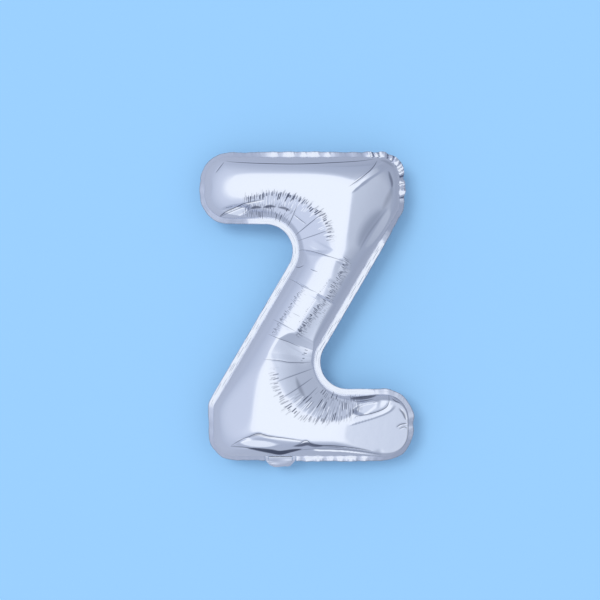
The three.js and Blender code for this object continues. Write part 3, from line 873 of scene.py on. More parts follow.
def weldedFilm(name):
    material, tree, shader = newMaterial(name)
    add = partial(addNode, tree)
    travel, across, lined, pinchShade = (
        add("ShaderNodeAttribute", settings={"attribute_name": field}).outputs["Fac"]
        for field in ("travel", "across", "lined", "pinchShade"))
    place = add("ShaderNodeTexCoord").outputs["Object"]
    grain = add("ShaderNodeTexNoise", Vector=place, Scale=1 / (weldLook["grain"] * millimetre), Detail=1.0)
    rough = add("ShaderNodeMapRange", grain, 0.0, 1.0, *weldLook["roughness"])
    rubbed = add("ShaderNodeBump", Strength=1.0, Distance=weldLook["grainHeight"] * millimetre, Height=grain)
    # Lines run along the band and wander a little; each comes and goes, and its painted shade darkens the
    # colour.
    wander = add("ShaderNodeTexNoise", settings={"noise_dimensions": "1D"}, Scale=weldLook["lineBend"],
                 Detail=1.0, W=travel)
    lineAt = add("ShaderNodeMath ADD", wander,
                 add("ShaderNodeMath DIVIDE", across, weldLook["linePitch"] * millimetre))
    line = add("ShaderNodeMath FLOOR", lineAt)
    fromLine = add("ShaderNodeMath SUBTRACT", add("ShaderNodeMath SUBTRACT", lineAt, line), 0.5)
    near = add("ShaderNodeMapRange", add("ShaderNodeMath ABSOLUTE", fromLine), 0.04, 0.16, 1.0, 0.0)
    comes = add("ShaderNodeTexNoise", settings={"noise_dimensions": "1D"}, Scale=weldLook["lineChange"],
                Detail=0.0, W=add("ShaderNodeMath MULTIPLY_ADD", line, 97.0, travel))
    there = add("ShaderNodeMapRange", comes, 0.5, 0.6)
    drawn = add("ShaderNodeMath MULTIPLY", add("ShaderNodeMath MULTIPLY", there, near), lined)
    # Painted shade also where a deep crinkle pinches shut.
    drawn = add("ShaderNodeMath MAXIMUM", drawn, add("ShaderNodeMath MINIMUM", pinchShade, 1.0))
    colour = add("ShaderNodeMix", settings={"data_type": "RGBA"}, i0=drawn, i6=linear(weldLook["silver"]),
                 i7=linear(weldLook["weldShadeColour"])).outputs[2]
    ridged = add("ShaderNodeBump", settings={"invert": True}, Strength=1.0,
                 Distance=weldLook["lineDepth"] * millimetre, Height=drawn, Normal=rubbed)
    tree.links.new(rough.outputs[0], shader.inputs["Roughness"])
    tree.links.new(ridged.outputs[0], shader.inputs["Normal"])
    tree.links.new(colour, shader.inputs["Base Color"])
    shader.inputs["Metallic"].default_value = 1.0
    return material


silver = metallisedFilm("metallisedFilm")
frosted = weldedFilm("weldedFilm")


# Gathered pleats: short sharp valleys side by side in a row, each with its own depth, length and place.

def pleatTree():
    tree, given = newTree("gatheredPleats", {
        "Travel": "String", "Offset": "String", "Strength": "String", "Pitch": "Float",
        "Half Width": "Float", "Depth": "Float", "Length": "Float", "Spread": "Float", "Shade": "Float",
        "Seed": "Int", "Material": "Material"})
    add = partial(addNode, tree)
    travel, offset, strength, fold = (
        add("GeometryNodeInputNamedAttribute", settings={"data_type": "FLOAT"}, Name=name)
        for name in (given["Travel"], given["Offset"], given["Strength"], "fold"))

    def perPleat(low, high, turn):
        seed = add("ShaderNodeMath ADD", given["Seed"], turn)
        return add("FunctionNodeRandomValue", settings={"data_type": "FLOAT"}, i2=low, i3=high, ID=pleat,
                   Seed=seed).outputs[1]

    def whatIsLeft(amount, whole):
        share = add("ShaderNodeMath DIVIDE", amount, whole)
        return add("ShaderNodeMath SUBTRACT", 1.0, share, settings={"use_clamp": True})

    place = add("ShaderNodeMath DIVIDE", travel, given["Pitch"])
    pleat = add("ShaderNodeMath FLOOR", place)
    within = add("ShaderNodeMath SUBTRACT", place, pleat)
    within = add("ShaderNodeMath SUBTRACT", within, perPleat(0.33, 0.67, 1))
    aside = add("ShaderNodeMath MULTIPLY", add("ShaderNodeMath ABSOLUTE", within), given["Pitch"])
    valley = add("ShaderNodeMath POWER", whatIsLeft(aside, given["Half Width"]), 1.5)
    shift = add("ShaderNodeMath MULTIPLY", given["Spread"], perPleat(-1.0, 1.0, 2))
    away = add("ShaderNodeMath ABSOLUTE", add("ShaderNodeMath ADD", offset, shift))
    halfLength = add("ShaderNodeMath MULTIPLY", given["Length"], perPleat(0.22, 0.5, 3))
    lengthwise = add("ShaderNodeMath POWER", whatIsLeft(away, halfLength), 0.7)
    strong = add("ShaderNodeMath MULTIPLY", strength, perPleat(0.25, 1.0, 4))
    strong = add("ShaderNodeMath MULTIPLY", strong, lengthwise)
    depth = add("ShaderNodeMath MULTIPLY", add("ShaderNodeMath MULTIPLY", given["Depth"], strong), valley)
    sunk = add("ShaderNodeVectorMath SCALE", add("GeometryNodeInputNormal"),
               Scale=add("ShaderNodeMath MULTIPLY", depth, -millimetre))
    moved = add("GeometryNodeSetPosition", given["Geometry"], Offset=sunk)
    # Painted shade: each valley also darkens the film's colour, kept with the film's other painted shade.
    shade = add("ShaderNodeMath MULTIPLY", add("ShaderNodeMath MULTIPLY", strong, valley), given["Shade"])
    shaded = add("GeometryNodeStoreNamedAttribute", settings={"data_type": "FLOAT", "domain": "POINT"},
                 Geometry=moved, Name="fold", Value=add("ShaderNodeMath MAXIMUM", fold, shade))
    endTree(tree, shaded, given["Material"])
    return tree


gatheredPleats = pleatTree()


def rowAlong(travel, reach, line, ends=4.0):
    # A row of pleats lies where reach follows the line of (travel, reach) points; gives offset and strength.
    table = np.array(line, float)
    offset = reach - np.interp(travel, table[:, 0], table[:, 1])
    strength = (smoothStep(table[0, 0] - ends, table[0, 0] + ends, travel)
                * (1 - smoothStep(table[-1, 0] - ends, table[-1, 0] + ends, travel)))
    return offset, strength


rowFields = ("name", "side", "line", "pitch", "halfWidth", "depth", "length", "spread", "shade")
pleatRows = named(rowFields, (
    # round the upper hollow corner: along the bright face's edge, between, and close to the weld
    ("upperEdge", "upper", [(-16, 21), (0, 24), (22, 31), (36, 37), (50, 36)], 3.7, 0.7, 0.3, 14, 3.0, 0.5),
    ("upperMiddle", "upper", [(-18, 13), (5, 14), (22, 17)], 2.5, 0.6, 0.3, 14, 3.0, 0.6),
    ("upperWeld", "upper", [(-22, 5), (10, 5), (24, 5)], 2.3, 0.6, 0.4, 12, 1.5, 0.8),
    # round the lower one, where they run long
    ("lowerEdge", "lower", [(-12, 12), (10, 24), (25, 34), (36, 40)], 2.3, 0.6, 0.18, 26, 4.0, 0.3),
    ("lowerWeld", "lower", [(-10, 9), (24, 12)], 2.2, 0.6, 0.3, 22, 3.0, 0.5),
    # the edges of the diagonal's bright stripe
    ("diagonalRight", "diagonal", [(-62, 14), (-30, 15), (0, 12), (28, 9)], 2.9, 0.7, 0.18, 9, 5.0, 0.3),
    ("diagonalLeft", "diagonal", [(-16, -12), (10, -13), (45, -15)], 2.9, 0.7, 0.15, 7, 4.0, 0.3),
))
backPleatRows = named(rowFields, (
    ("backUpper", "upper", [(-18, 12), (10, 16), (40, 20), (74, 14)], 2.9, 0.7, 0.4, 16, 4.0, 0.5),
    ("backLower", "lower", [(-18, 12), (10, 16), (40, 20), (74, 14)], 2.7, 0.7, 0.4, 17, 4.0, 0.5),
))


# The finest gathers are drawn by the material, as a bump and as painted shade in their valleys, and it reads
# these rows: which side, the line as (travel, reach), how far from it they lie, half the longest one's
# length, and how strong they are. On the diagonal the travel is down it and the reach is across it.
fineFields = ("side", "line", "breadth", "halfLength", "strength")
fineRows = {
    "edge": [
        ("upper", [(-22, 20), (0, 24), (7, 26), (13, 28), (22, 31), (30, 32), (36, 37), (44, 37), (50, 36)],
         9.0, 5.0, 1.5),
        ("lower", [(-14, 14), (0, 21), (10, 28), (25, 40), (32, 45), (52, 46)], 14.0, 6.0, 1.0),
    ],
    "scatter": [
        ("diagonal", [(-66, 13), (-50, 15), (-30, 16), (-18, 17), (-8, 13), (4, 12), (22, 9), (32, 9)],
         8.0, 4.5, 1.4),
        ("diagonal", [(-16, -13), (8, -14), (14, -14.5), (27, -15.5), (45, -16)], 6.0, 3.0, 0.9),
    ],
    "middle": [
        ("upper", [(-22, 11.5), (0, 12), (10, 13), (21, 16)], 5.0, 3.5, 1.6),
        ("lower", [(-12, 9), (10, 16), (36, 28)], 14.0, 8.0, 1.3),
        ("diagonal", [(-38, 7), (-22, 5), (-8, 3), (20, 2)], 4.5, 1.2, 0.8),
    ],
    "weld": [
        ("upper", [(-24, 5.5), (10, 5.5), (20, 6)], 7.0, 6.0, 1.9),
        ("lower", [(-14, 5), (20, 6), (28, 8)], 7.0, 5.0, 1.7),
        ("lower", [(56, 14), (68, 12)], 6.0, 3.0, 1.4),
        ("diagonal", [(-64, 18), (-40, 20), (10, 20)], 5.0, 2.5, 0.6),
    ],
    "ridge": [
        ("upper", [(-24, 15), (0, 17), (13, 20), (22, 24), (36, 32), (50, 33)], 12.0, 6.0, 1.0),
        ("lower", [(-14, 9), (10, 20), (25, 30), (36, 37)], 16.0, 11.0, 1.0),
        ("diagonal", [(-64, 11), (-50, 13), (-25, 13), (-8, 10), (22, 7)], 5.0, 3.0, 0.6),
    ],
}


def sidesOf(plan):
    return {
        "upper": alongHollow(plan),
        "lower": alongHollow(-plan),
        "diagonal": (plan @ acrossDiagonal, plan @ downDiagonal),
    }


def keepFineRows(piece, plan):
    sides = sidesOf(plan)
    fade = 3.0  # mm, past a row's ends and sides
    for layer, rows in fineRows.items():
        strongest = dict.fromkeys(("Travel", "Offset", "Strength"), np.zeros(plan.shape[:2]))
        for row in named(fineFields, rows):
            reach, travel = sides[row["side"]]
            offset, strength = rowAlong(travel, reach, row["line"], fade)
            breadth = row["breadth"]
            strength = row["strength"] * strength * (1 - smoothStep(breadth, breadth + fade, np.abs(offset)))
            stronger = strength > strongest["Strength"]
            here = {"Travel": travel, "Offset": offset / row["halfLength"], "Strength": strength}
            strongest = {part: np.where(stronger, here[part], strongest[part]) for part in here}
        keepNumbers(piece, **{layer + part: values for part, values in strongest.items()})


def gather(piece, plan, rows, seed):
    sides = sidesOf(plan)
    for turn, row in enumerate(rows):
        reach, travel = sides[row["side"]]
        offset, strength = rowAlong(travel, reach, row["line"])
        parts = {"Travel": travel, "Offset": offset, "Strength": strength}
        keepNumbers(piece, **{row["name"] + part: values for part, values in parts.items()})
        useTree(piece, gatheredPleats, {
            **{part: row["name"] + part for part in parts}, "Pitch": row["pitch"],
            "Half Width": row["halfWidth"], "Depth": row["depth"], "Length": float(row["length"]),
            "Spread": row["spread"], "Shade": row["shade"], "Seed": seed + 10 * turn, "Material": silver})
    madeFast(piece)
    for row in rows:
        for part in ("Travel", "Offset", "Strength"):
            piece.data.attributes.remove(piece.data.attributes[row["name"] + part])


def finishedFilm(name, plan, height, marks, fromWeld, rows, seed, flip=False):
    height[:, 0] = height[:, -1] = height[0] = height[-1] = 0  # its rim lies in the weld
    piece = gridMesh(name, atLetter(plan, height), flip)
    fold, lineSide, lineNear = marks
    keepNumbers(piece, fold=fold, fromWeld=fromWeld, lineSide=lineSide, lineNear=lineNear)
    keepFineRows(piece, plan)
    piece.data.materials.append(silver)
    gather(piece, plan, rows, seed)
    return piece


print("front film")
weldLine, _ = outline(weldInset)
sag = membraneSag(weldLine)
plan = filmPlan()
swell, fromWeld = swollenHeight(weldLine, sag, plan)
front, *marks = creased(plan, shaped(plan, swell, fromWeld), creases, shades)
frontFilm = finishedFilm("front_film", plan, front, marks, fromWeld, pleatRows, seed=3)
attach(frontFilm, "root")
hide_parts("front_panel")
print("front film crest", round(float(front.max()), 1), "mm over the weld")

print("back film")
backPlan = filmPlan(film["backRibShare"])
backSwell, backFromWeld = swollenHeight(weldLine, sag, backPlan)
backSunk, *backMarks = creased(backPlan, backSwell, backCreases, backShades)
back = -np.minimum(backSunk, letterMiddle[2])  # pressed flat where it lies
backFilm = finishedFilm("back_film", backPlan, back, backMarks, backFromWeld, backPleatRows, seed=211,
                        flip=True)
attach(backFilm, "root")
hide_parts("back_panel")


# The welded margin: a band along the weld, drawn and crinkled by the pull of the film.

margin = {
    "lap": 2.0,  # under the films' rims
    "rows": 9,  # points across it
    "step": 0.7,  # along it
    "thickness": 0.25,
    "droopPitch": 9.0,
    "crinklePitch": 2.9,
    "crinkleReach": 2.6,
    "crinkleSlant": 260.0,
    "scallopPitch": 13.0,
    "scallopReach": 2.2,
    "drawnIn": 0.35,  # how much of the width that the droop takes shows; the rest the film makes up
    # Painted shade darkens the band where a crinkle closes into a pinch.
    "pinchFrom": 0.07,  # a crinkle this deep begins to close into a dark pinch
    "pinchSharpness": 12.0,
    "neckGap": (-45.6, -11.6),  # where the filling neck leaves it
    "seed": 4.0,
}
# By place round the letter, as a corner's number and a share of the way to the next: how far the band's
# outer edge droops, in degrees, and how high its crinkles and how deep its scallops are.
marginFields = ("place", "droop", "crinkle", "scallop")
marginRows = [
    (0.0, 62, 0.35, 0.7), (0.14, 50, 0.35, 0.5), (0.26, 38, 0.4, 0.4), (0.33, 14, 0.5, 0.3),
    (0.65, 12, 0.6, 0.4), (0.69, 36, 0.4, 0.3), (0.81, 38, 0.4, 0.3), (0.86, 16, 1.8, 0.7),
    (0.92, 6, 2.4, 1.2), (1.1, 10, 2.6, 1.5), (1.7, 16, 2.6, 1.5), (1.85, 40, 1.2, 0.6),
    (2.0, 62, 0.6, 0.4), (2.1, 60, 0.4, 0.2), (2.2, 8, 0.4, 0.1), (2.3, 3, 0.3, 0.1), (3.5, 2, 0.25, 0.1),
    (3.64, 12, 0.3, 0.1), (3.74, 27, 0.4, 0.4), (4.0, 27, 0.5, 1.0), (4.6, 29, 0.6, 1.2),
    (5.0, 55, 0.5, 0.9), (5.14, 45, 0.4, 0.4), (5.2, 12, 0.8, 0.3), (5.55, 8, 0.9, 0.5),
    (5.62, 36, 0.5, 0.3),
    (5.9, 60, 0.35, 0.7), (6.05, 75, 0.35, 0.7), (6.3, 45, 0.35, 0.6), (6.8, 38, 0.3, 0.4),
    (7.05, 4, 0.3, 0.1), (8.4, 2, 0.25, 0.1), (8.55, 24, 0.3, 0.2), (8.7, 44, 0.35, 0.5),
    (9.0, 42, 0.35, 0.7), (9.7, 44, 0.35, 0.7), (9.9, 60, 0.35, 0.7), (10.0, 62, 0.35, 0.7),
]
# By the same places, how strongly the band is lined with bumped lines that carry painted shade.
linedPlaces = [(2.1, 0.0), (2.25, 1.0), (2.85, 1.0), (3.0, 0.2), (6.9, 0.2), (7.1, 1.0), (7.9, 0.6),
               (8.1, 0.2)]


def marginPath():
    # Points along the weld, clockwise from the neck's left side to its right, with their place by corner.
    line, numbers = outline(weldInset)
    lengths = np.linalg.norm(np.roll(line, -1, 0) - line, axis=1)
    along = np.concatenate([[0], np.cumsum(lengths)])
    arcMiddles = [along[np.where(numbers == k)[0]].mean() for k in range(numbers.max() + 1)]
    total = along[-1]
    closed = np.vstack([line, line[:1]])
    atNeck = np.abs(line[:, 1] - line[:, 1].min()) < 1e-6
    side = int(np.argmax(atNeck & np.roll(atNeck, -1)))
    startX, endX = margin["neckGap"]
    start = along[side] + line[side, 0] - startX
    end = along[side] + line[side, 0] - endX + total
    wanted = np.linspace(start, end, round((end - start) / margin["step"]) + 1)
    points = np.stack([np.interp(wanted % total, along, closed[:, k]) for k in (0, 1)], 1)
    places = np.interp(wanted % total, [*arcMiddles, arcMiddles[0] + total], range(len(arcMiddles) + 1))
    return points, wanted, places


def marginTree():
    tree, given = newTree("weldedBand", {
        "Lap": "Float", "Width": "Float", "Rows": "Int", "Crinkle Pitch": "Float", "Scallop Pitch": "Float",
        "Seed": "Float", "Material": "Material"})
    add = partial(addNode, tree)
    across, travel, tilt, crinkle, scallop = (
        add("GeometryNodeInputNamedAttribute", settings={"data_type": "FLOAT"}, Name=name)
        for name in ("across", "travel", "droop", "crinkle", "scallop"))
    outwards = add("GeometryNodeInputNamedAttribute", settings={"data_type": "FLOAT_VECTOR"},
                   Name="outwards")

    def wave(place, pitch, turn, detail=0.0):
        # A number from about -0.5 to 0.5 that changes along the band.
        along = add("ShaderNodeMath DIVIDE", place, pitch)
        shifted = add("ShaderNodeMath ADD", along, add("ShaderNodeMath ADD", given["Seed"], turn))
        level = add("ShaderNodeTexNoise", settings={"noise_dimensions": "1D"}, Scale=1.0, Detail=detail,
                    W=shifted)
        return add("ShaderNodeMath SUBTRACT", level, 0.5)

    path = add("GeometryNodeMeshToCurve", given["Geometry"])
    upright = add("GeometryNodeSetCurveNormal", path, settings={"mode": "Z_UP"})
    # The band's section runs from under the films out past the weld; its own x is the way across.
    inner = add("ShaderNodeCombineXYZ", given["Lap"])
    outer = add("ShaderNodeCombineXYZ", add("ShaderNodeMath MULTIPLY", given["Width"], -1.0))
    section = add("GeometryNodeCurvePrimitiveLine", Start=inner, End=outer)
    section = add("GeometryNodeResampleCurve", Curve=section, Count=given["Rows"])
    sectionX = add("ShaderNodeSeparateXYZ", add("GeometryNodeInputPosition"))
    section = add("GeometryNodeStoreNamedAttribute", settings={"data_type": "FLOAT", "domain": "POINT"},
                  Geometry=section, Name="across", Value=add("ShaderNodeMath MULTIPLY", sectionX, -1.0))
    band = add("GeometryNodeCurveToMesh", Curve=upright, Profile_Curve=section)
    out = add("ShaderNodeMath MAXIMUM", across, 0.0)  # metres past the weld
    share = add("ShaderNodeMath DIVIDE", out, given["Width"])
    droop = add("ShaderNodeMath MULTIPLY_ADD", crinkle, wave(travel, margin["droopPitch"], 5.0), tilt)
    narrowing = add("ShaderNodeMath SUBTRACT", add("ShaderNodeMath COSINE", droop), 1.0)
    narrowing = add("ShaderNodeMath MULTIPLY", add("ShaderNodeMath MULTIPLY", out, narrowing),
                    margin["drawnIn"])
    scalloped = add("ShaderNodeMath MULTIPLY", scallop, wave(travel, given["Scallop Pitch"], 17.0))
    reach = add("ShaderNodeMath MULTIPLY", share, margin["scallopReach"] * millimetre)
    sideways = add("ShaderNodeVectorMath SCALE", outwards,
                   Scale=add("ShaderNodeMath MULTIPLY_ADD", scalloped, reach, narrowing))
    slanted = add("ShaderNodeMath MULTIPLY_ADD", out, margin["crinkleSlant"], travel)
    lean = wave(slanted, given["Crinkle Pitch"], 0.0, 2.0)
    reach = add("ShaderNodeMath MULTIPLY", share, margin["crinkleReach"] * millimetre)
    rise = add("ShaderNodeMath MULTIPLY", add("ShaderNodeMath MULTIPLY", crinkle, lean), reach)
    fall = add("ShaderNodeMath MULTIPLY", across, add("ShaderNodeMath SINE", droop))
    upwards = add("ShaderNodeCombineXYZ", Z=add("ShaderNodeMath SUBTRACT", rise, fall))
    shaped = add("GeometryNodeSetPosition", band, Offset=add("ShaderNodeVectorMath ADD", sideways, upwards))
    # Painted shade: a deep crinkle darkens the band's colour.
    deep = add("ShaderNodeMath MULTIPLY_ADD", lean, -1.0, -margin["pinchFrom"])
    deep = add("ShaderNodeMath MULTIPLY", add("ShaderNodeMath MAXIMUM", deep, 0.0), margin["pinchSharpness"])
    strong = add("ShaderNodeMath MAXIMUM", add("ShaderNodeMath SUBTRACT", crinkle, 1.0), 0.0)
    pinchShade = add("ShaderNodeMath MULTIPLY", add("ShaderNodeMath MINIMUM", deep, 1.0), strong)
    pinched = add("GeometryNodeStoreNamedAttribute", settings={"data_type": "FLOAT", "domain": "POINT"},
                  Geometry=shaped, Name="pinchShade", Value=pinchShade)
    endTree(tree, add("GeometryNodeSetShadeSmooth", pinched), given["Material"])
    return tree


print("welded margin")
marginLine, marginTravel, marginPlaces = marginPath()
marginTable = np.array(marginRows, float)
atPlace = {name: np.interp(marginPlaces, marginTable[:, 0], marginTable[:, k])
           for k, name in enumerate(marginFields)}
marginMesh = bpy.data.meshes.new("margin_band")
marginMesh.from_pydata(atLetter(marginLine, np.zeros(len(marginLine))).tolist(),
                       [(k, k + 1) for k in range(len(marginLine) - 1)], [])
marginBand = placed("margin_band", marginMesh)
keepNumbers(marginBand, travel=marginTravel, droop=np.radians(atPlace["droop"]), crinkle=atPlace["crinkle"],
            scallop=atPlace["scallop"], lined=np.interp(marginPlaces, *np.array(linedPlaces).T))
way = np.gradient(marginLine, axis=0)
way /= np.linalg.norm(way, axis=1)[:, None]
outwardsHere = np.stack([-way[:, 1], way[:, 0], np.zeros(len(way))], 1)
marginMesh.attributes.new("outwards", "FLOAT_VECTOR", "POINT").data.foreach_set(
    "vector", outwardsHere.astype(np.float32).ravel())
useTree(marginBand, marginTree(), {
    "Lap": margin["lap"] * millimetre, "Width": weldInset * millimetre, "Rows": margin["rows"],
    "Crinkle Pitch": margin["crinklePitch"], "Scallop Pitch": margin["scallopPitch"], "Seed": margin["seed"],
    "Material": frosted})
walled(marginBand, margin["thickness"])
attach(marginBand, "root")
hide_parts("welded_margin")


# The filling neck: its two plies leave the weld at the lower edge, turn down and curl under the stroke. The
# valve's two clear plies lie between them, and a weld closes each side.

neck = {
    "x": -28.6,
    "proud": 5.5,  # how far the turned neck stands out past the margin
    "rootInset": weldInset - 0.3,
    "turnRadius": 6.0,
    "underRadius": 26.3,
    "underSweep": math.radians(54),
    "droop": math.radians(29),  # at its root
    "step": 0.6,
    "rowsAcross": 46,
    "flatRoot": (1.0, 6.0),  # it is flat to the first and wrinkled from the second on, along it
    "wrinkleHeight": 0.8,
    "wrinkleLength": 7.0,
    "wrinkleWidth": 14.0,
    "wrinkleSeed": 3.0,
    "gatherPitch": 2.6,  # of the small gathers beside each weld
    "gatherHeight": 0.12,
    "gatherWander": (4.0, 5.0),  # how far their pitch strays, in radians, and over what length
    "gathersOut": 13.0,  # how far from the neck's middle they lie
    "gathersWide": 3.0,
    "drawnIn": 0.35,  # how much narrower it gets
    "drawnBetween": (3.0, 14.0),  # along it
    "milky": 4.0,  # its film looks as the panels' film does this far from the weld
}


# Unprinted polyethylene, blown and slightly milky: light comes through it, and it shines softly.
clearLook = {
    "tint": "#e9eef5",
    "through": 0.7,  # how much of the light comes through
    "roughness": (0.16, 0.34),
    "streak": 2.5,  # mm, how broad the streaks are that blowing draws it into
    "streakHeight": 0.02,  # mm
    "streakStretch": (1.0, 0.2, 0.2),
}


def clearFilm(name):
    material, tree, shader = newMaterial(name)
    add = partial(addNode, tree)
    place = add("ShaderNodeTexCoord").outputs["Object"]
    drawn = add("ShaderNodeMapping", place, Scale=clearLook["streakStretch"])
    streaks = add("ShaderNodeTexNoise", drawn, Scale=1 / (clearLook["streak"] * millimetre), Detail=2.0)
    rough = add("ShaderNodeMapRange", streaks, 0.0, 1.0, *clearLook["roughness"])
    bump = add("ShaderNodeBump", Strength=1.0, Distance=clearLook["streakHeight"] * millimetre,
               Height=streaks)
    tree.links.new(rough.outputs[0], shader.inputs["Roughness"])
    tree.links.new(bump.outputs[0], shader.inputs["Normal"])
    shader.inputs["Base Color"].default_value = linear(clearLook["tint"])
    shader.inputs["Transmission Weight"].default_value = clearLook["through"]
    return material


clear = clearFilm("clearValveFilm")


def neckLine(past):
    # The middle line from the side, as (y, z, facing), in short even steps.
    droop, radius, step = neck["droop"], neck["turnRadius"], neck["step"]
    rootY = -letter["height"] / 2 + neck["rootInset"]
    turnY = -letter["height"] / 2 - neck["proud"] + radius
    underY = turnY - radius + neck["underRadius"]
    run = (rootY - turnY + radius * math.sin(droop)) / math.cos(droop)
    turnZ = -radius * math.cos(droop) - run * math.sin(droop)
    line = [(rootY - t * math.cos(droop), -t * math.sin(droop), math.pi / 2 + droop)
            for t in np.linspace(0, run, round(run / step), endpoint=False)]
    mouth = math.pi + neck["underSweep"]
    for centreY, radius, start, end in ((turnY, radius, math.pi / 2 + droop, math.pi),
                                        (underY, neck["underRadius"], math.pi, mouth)):
        for facing in np.linspace(start, end, round(radius * (end - start) / step), endpoint=False):
            line.append((centreY + radius * math.cos(facing), turnZ + radius * math.sin(facing), facing))
    endY, endZ = underY + radius * math.cos(mouth), turnZ + radius * math.sin(mouth)
    for t in np.linspace(0, past, round(past / step) + 1):
        line.append((endY - t * math.sin(mouth), endZ + t * math.cos(mouth), mouth))
    return np.array(line)


def neckPly(name, depth, past, lowX, highX):
    y, z, facing = neckLine(past).T[:, :, None]
    along = np.arange(len(y)) * neck["step"]
    x = np.linspace(lowX, highX, neck["rowsAcross"])
    alongHere, xHere = np.meshgrid(along, x, indexing="ij")
    # All the plies share one set of wrinkles, so that none cuts through the next.
    soft = np.array([[noise.noise(Vector((a / neck["wrinkleLength"], b / neck["wrinkleWidth"],
                                          neck["wrinkleSeed"]))) for b in x] for a in along])
    beside = np.exp(-((np.abs(xHere - neck["x"]) - neck["gathersOut"]) / neck["gathersWide"]) ** 2)
    stray, over = neck["gatherWander"]
    fine = np.sin(2 * math.pi * alongHere / neck["gatherPitch"] + stray * np.sin(alongHere / over))
    wrinkles = neck["wrinkleHeight"] * soft + neck["gatherHeight"] * beside * fine
    lift = depth + smoothStep(*neck["flatRoot"], alongHere) * wrinkles
    narrower = 1 - neck["drawnIn"] * smoothStep(*neck["drawnBetween"], alongHere)
    xHere = neck["x"] + (xHere - neck["x"]) * narrower
    points = np.stack([xHere, y + lift * np.cos(facing), z + lift * np.sin(facing)], -1)
    return gridMesh(name, (points + letterMiddle) * millimetre, flip=True)


print("filling neck")
# Depth is from the neck's middle, and past is how far a ply runs on past the mouth.
for ply in named(("node", "piece", "depth", "thickness", "past", "slot", "material"), (
    ("neck_front_film", "neck_upper_ply", 1.25, 0.22, 0.0, "neck_film", silver),
    ("neck_back_film", "neck_lower_ply", -1.25, 0.22, 0.0, "neck_film", silver),
    ("valve_front_film", "valve_upper_ply", 0.35, 0.15, 5.0, "valve_film", clear),
    ("valve_back_film", "valve_lower_ply", -0.35, 0.15, 5.0, "valve_film", clear),
    ("neck_weld_left", "neck_left_seam", 0.0, 1.2, 0.0, "welded_film", frosted),
    ("neck_weld_right", "neck_right_seam", 0.0, 1.2, 0.0, "welded_film", frosted),
)):
    lowX, highX = (corner.x / millimetre - letterMiddle[0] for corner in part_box(ply["node"]))
    piece = neckPly(ply["piece"], ply["depth"], ply["past"], lowX, highX)
    if ply["material"] is silver:
        keepNumbers(piece, fromWeld=np.full(len(piece.data.vertices), neck["milky"]))
    piece.data.materials.append(ply["material"])
    walled(piece, ply["thickness"])
    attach(piece, "root")
    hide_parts(ply["node"])


# Studio

studio = {
    "floorColour": "#99caf0",
    # In the balloon's mirror the floor shows a painted glow, like the foot of the walls, lighter on the
    # left.
    "floorInMirror": [(0.3, "#b9c2d6"), (0.7, "#a2abbf")],
    "mirrorSpan": 0.5,  # metres, from the one tone to the other
    "floorSize": 6.0,
    "floorRoughness": 0.9,
    "keyPower": 1.0,
    "keyTurn": (math.radians(28), 0.0, math.radians(-128)),  # light comes from the upper left
    "keySoftness": math.radians(24),
    "domeStrength": 1.1,
    "domeBlend": 0.5,  # the left side's colours give way to the right's over this much to each side
    # The dome's colour by the sine of the height it is seen at: walls, then the edge of the soft light.
    "domeLeft": [(0.0, "#b2bbcf"), (0.3, "#bdc6d9"), (0.6, "#cad2e4"), (0.67, "#d3dbeb"), (0.78, "#ecf1fa"),
                 (1.0, "#f0f5fa")],
    "domeRight": [(0.0, "#9ca5b9"), (0.3, "#a0a9bb"), (0.5, "#b1b9c9"), (0.62, "#c1c9d8"), (0.68, "#ccd4e3"),
                  (0.78, "#ecf1fa"), (1.0, "#f0f5fa")],
}


print("studio")
floor = bpy.data.meshes.new("floor")
half = studio["floorSize"] / 2
corners = [(-half, -half, 0), (half, -half, 0), (half, half, 0), (-half, half, 0)]
floor.from_pydata(corners, [], [(0, 1, 2, 3)])
floorPiece = placed("floor", floor)
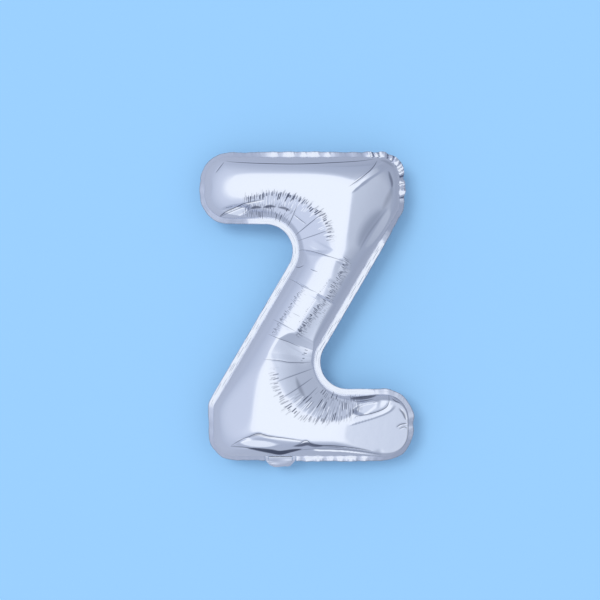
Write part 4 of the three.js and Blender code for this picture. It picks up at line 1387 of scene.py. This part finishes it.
# Matt card; a glossy ray sees instead a painted glow, lighter on the left, that stands in for the studio
# that the balloon mirrors.
floorPaint, paintTree, floorShader = newMaterial("floorPaint")
floorShader.inputs["Base Color"].default_value = linear(studio["floorColour"])
floorShader.inputs["Roughness"].default_value = studio["floorRoughness"]
add = partial(addNode, paintTree)
mirrored = add("ShaderNodeLightPath").outputs["Is Glossy Ray"]
floorX = add("ShaderNodeSeparateXYZ", add("ShaderNodeTexCoord").outputs["Object"])
acrossFloor = add("ShaderNodeMapRange", floorX, -studio["mirrorSpan"], studio["mirrorSpan"])
glow = add("ShaderNodeValToRGB", acrossFloor, settings={"stops": studio["floorInMirror"]})
paintedMirrorGlow = add("ShaderNodeEmission", glow)
floorLook = add("ShaderNodeMixShader", mirrored, floorShader, paintedMirrorGlow)
paintTree.links.new(floorLook.outputs[0], paintTree.nodes["Material Output"].inputs["Surface"])
floor.materials.append(floorPaint)

key = bpy.data.lights.new("key", "SUN")
key.energy = studio["keyPower"]
key.angle = studio["keySoftness"]
keyPiece = placed("key", key)
keyPiece.rotation_euler = studio["keyTurn"]
keyPiece.visible_glossy = False  # it casts the soft shadow and leaves the mirror to the dome

world = bpy.data.worlds.new("studioWalls")
world.use_nodes = True
walls = world.node_tree
add = partial(addNode, walls)
parts = add("ShaderNodeSeparateXYZ", add("ShaderNodeTexCoord").outputs["Generated"]).outputs
left, right = (add("ShaderNodeValToRGB", parts["Z"], settings={"stops": studio[side]}).outputs[0]
               for side in ("domeLeft", "domeRight"))
side = add("ShaderNodeMapRange", parts["X"], -studio["domeBlend"], studio["domeBlend"])
dome = add("ShaderNodeMix", settings={"data_type": "RGBA"}, i0=side, i6=left, i7=right).outputs[2]
walls.links.new(dome, walls.nodes["Background"].inputs["Color"])
walls.nodes["Background"].inputs["Strength"].default_value = studio["domeStrength"]
bpy.context.scene.world = world

camera = bpy.data.cameras.new("camera")
cameraPiece = placed("camera", camera)
frameWidth = photo["pixels"] * photo["pixel"] * millimetre  # of what the photograph takes in, at the weld
cameraHeight = photo["cameraHeight"] * millimetre
camera.sensor_width = 36.0
camera.lens = camera.sensor_width * cameraHeight / frameWidth
cameraPiece.location = Vector(letterMiddle + [*cameraFoot, 0]) * millimetre + Vector((0, 0, cameraHeight))
bpy.context.scene.camera = cameraPiece
bpy.context.scene.view_settings.view_transform = "Standard"
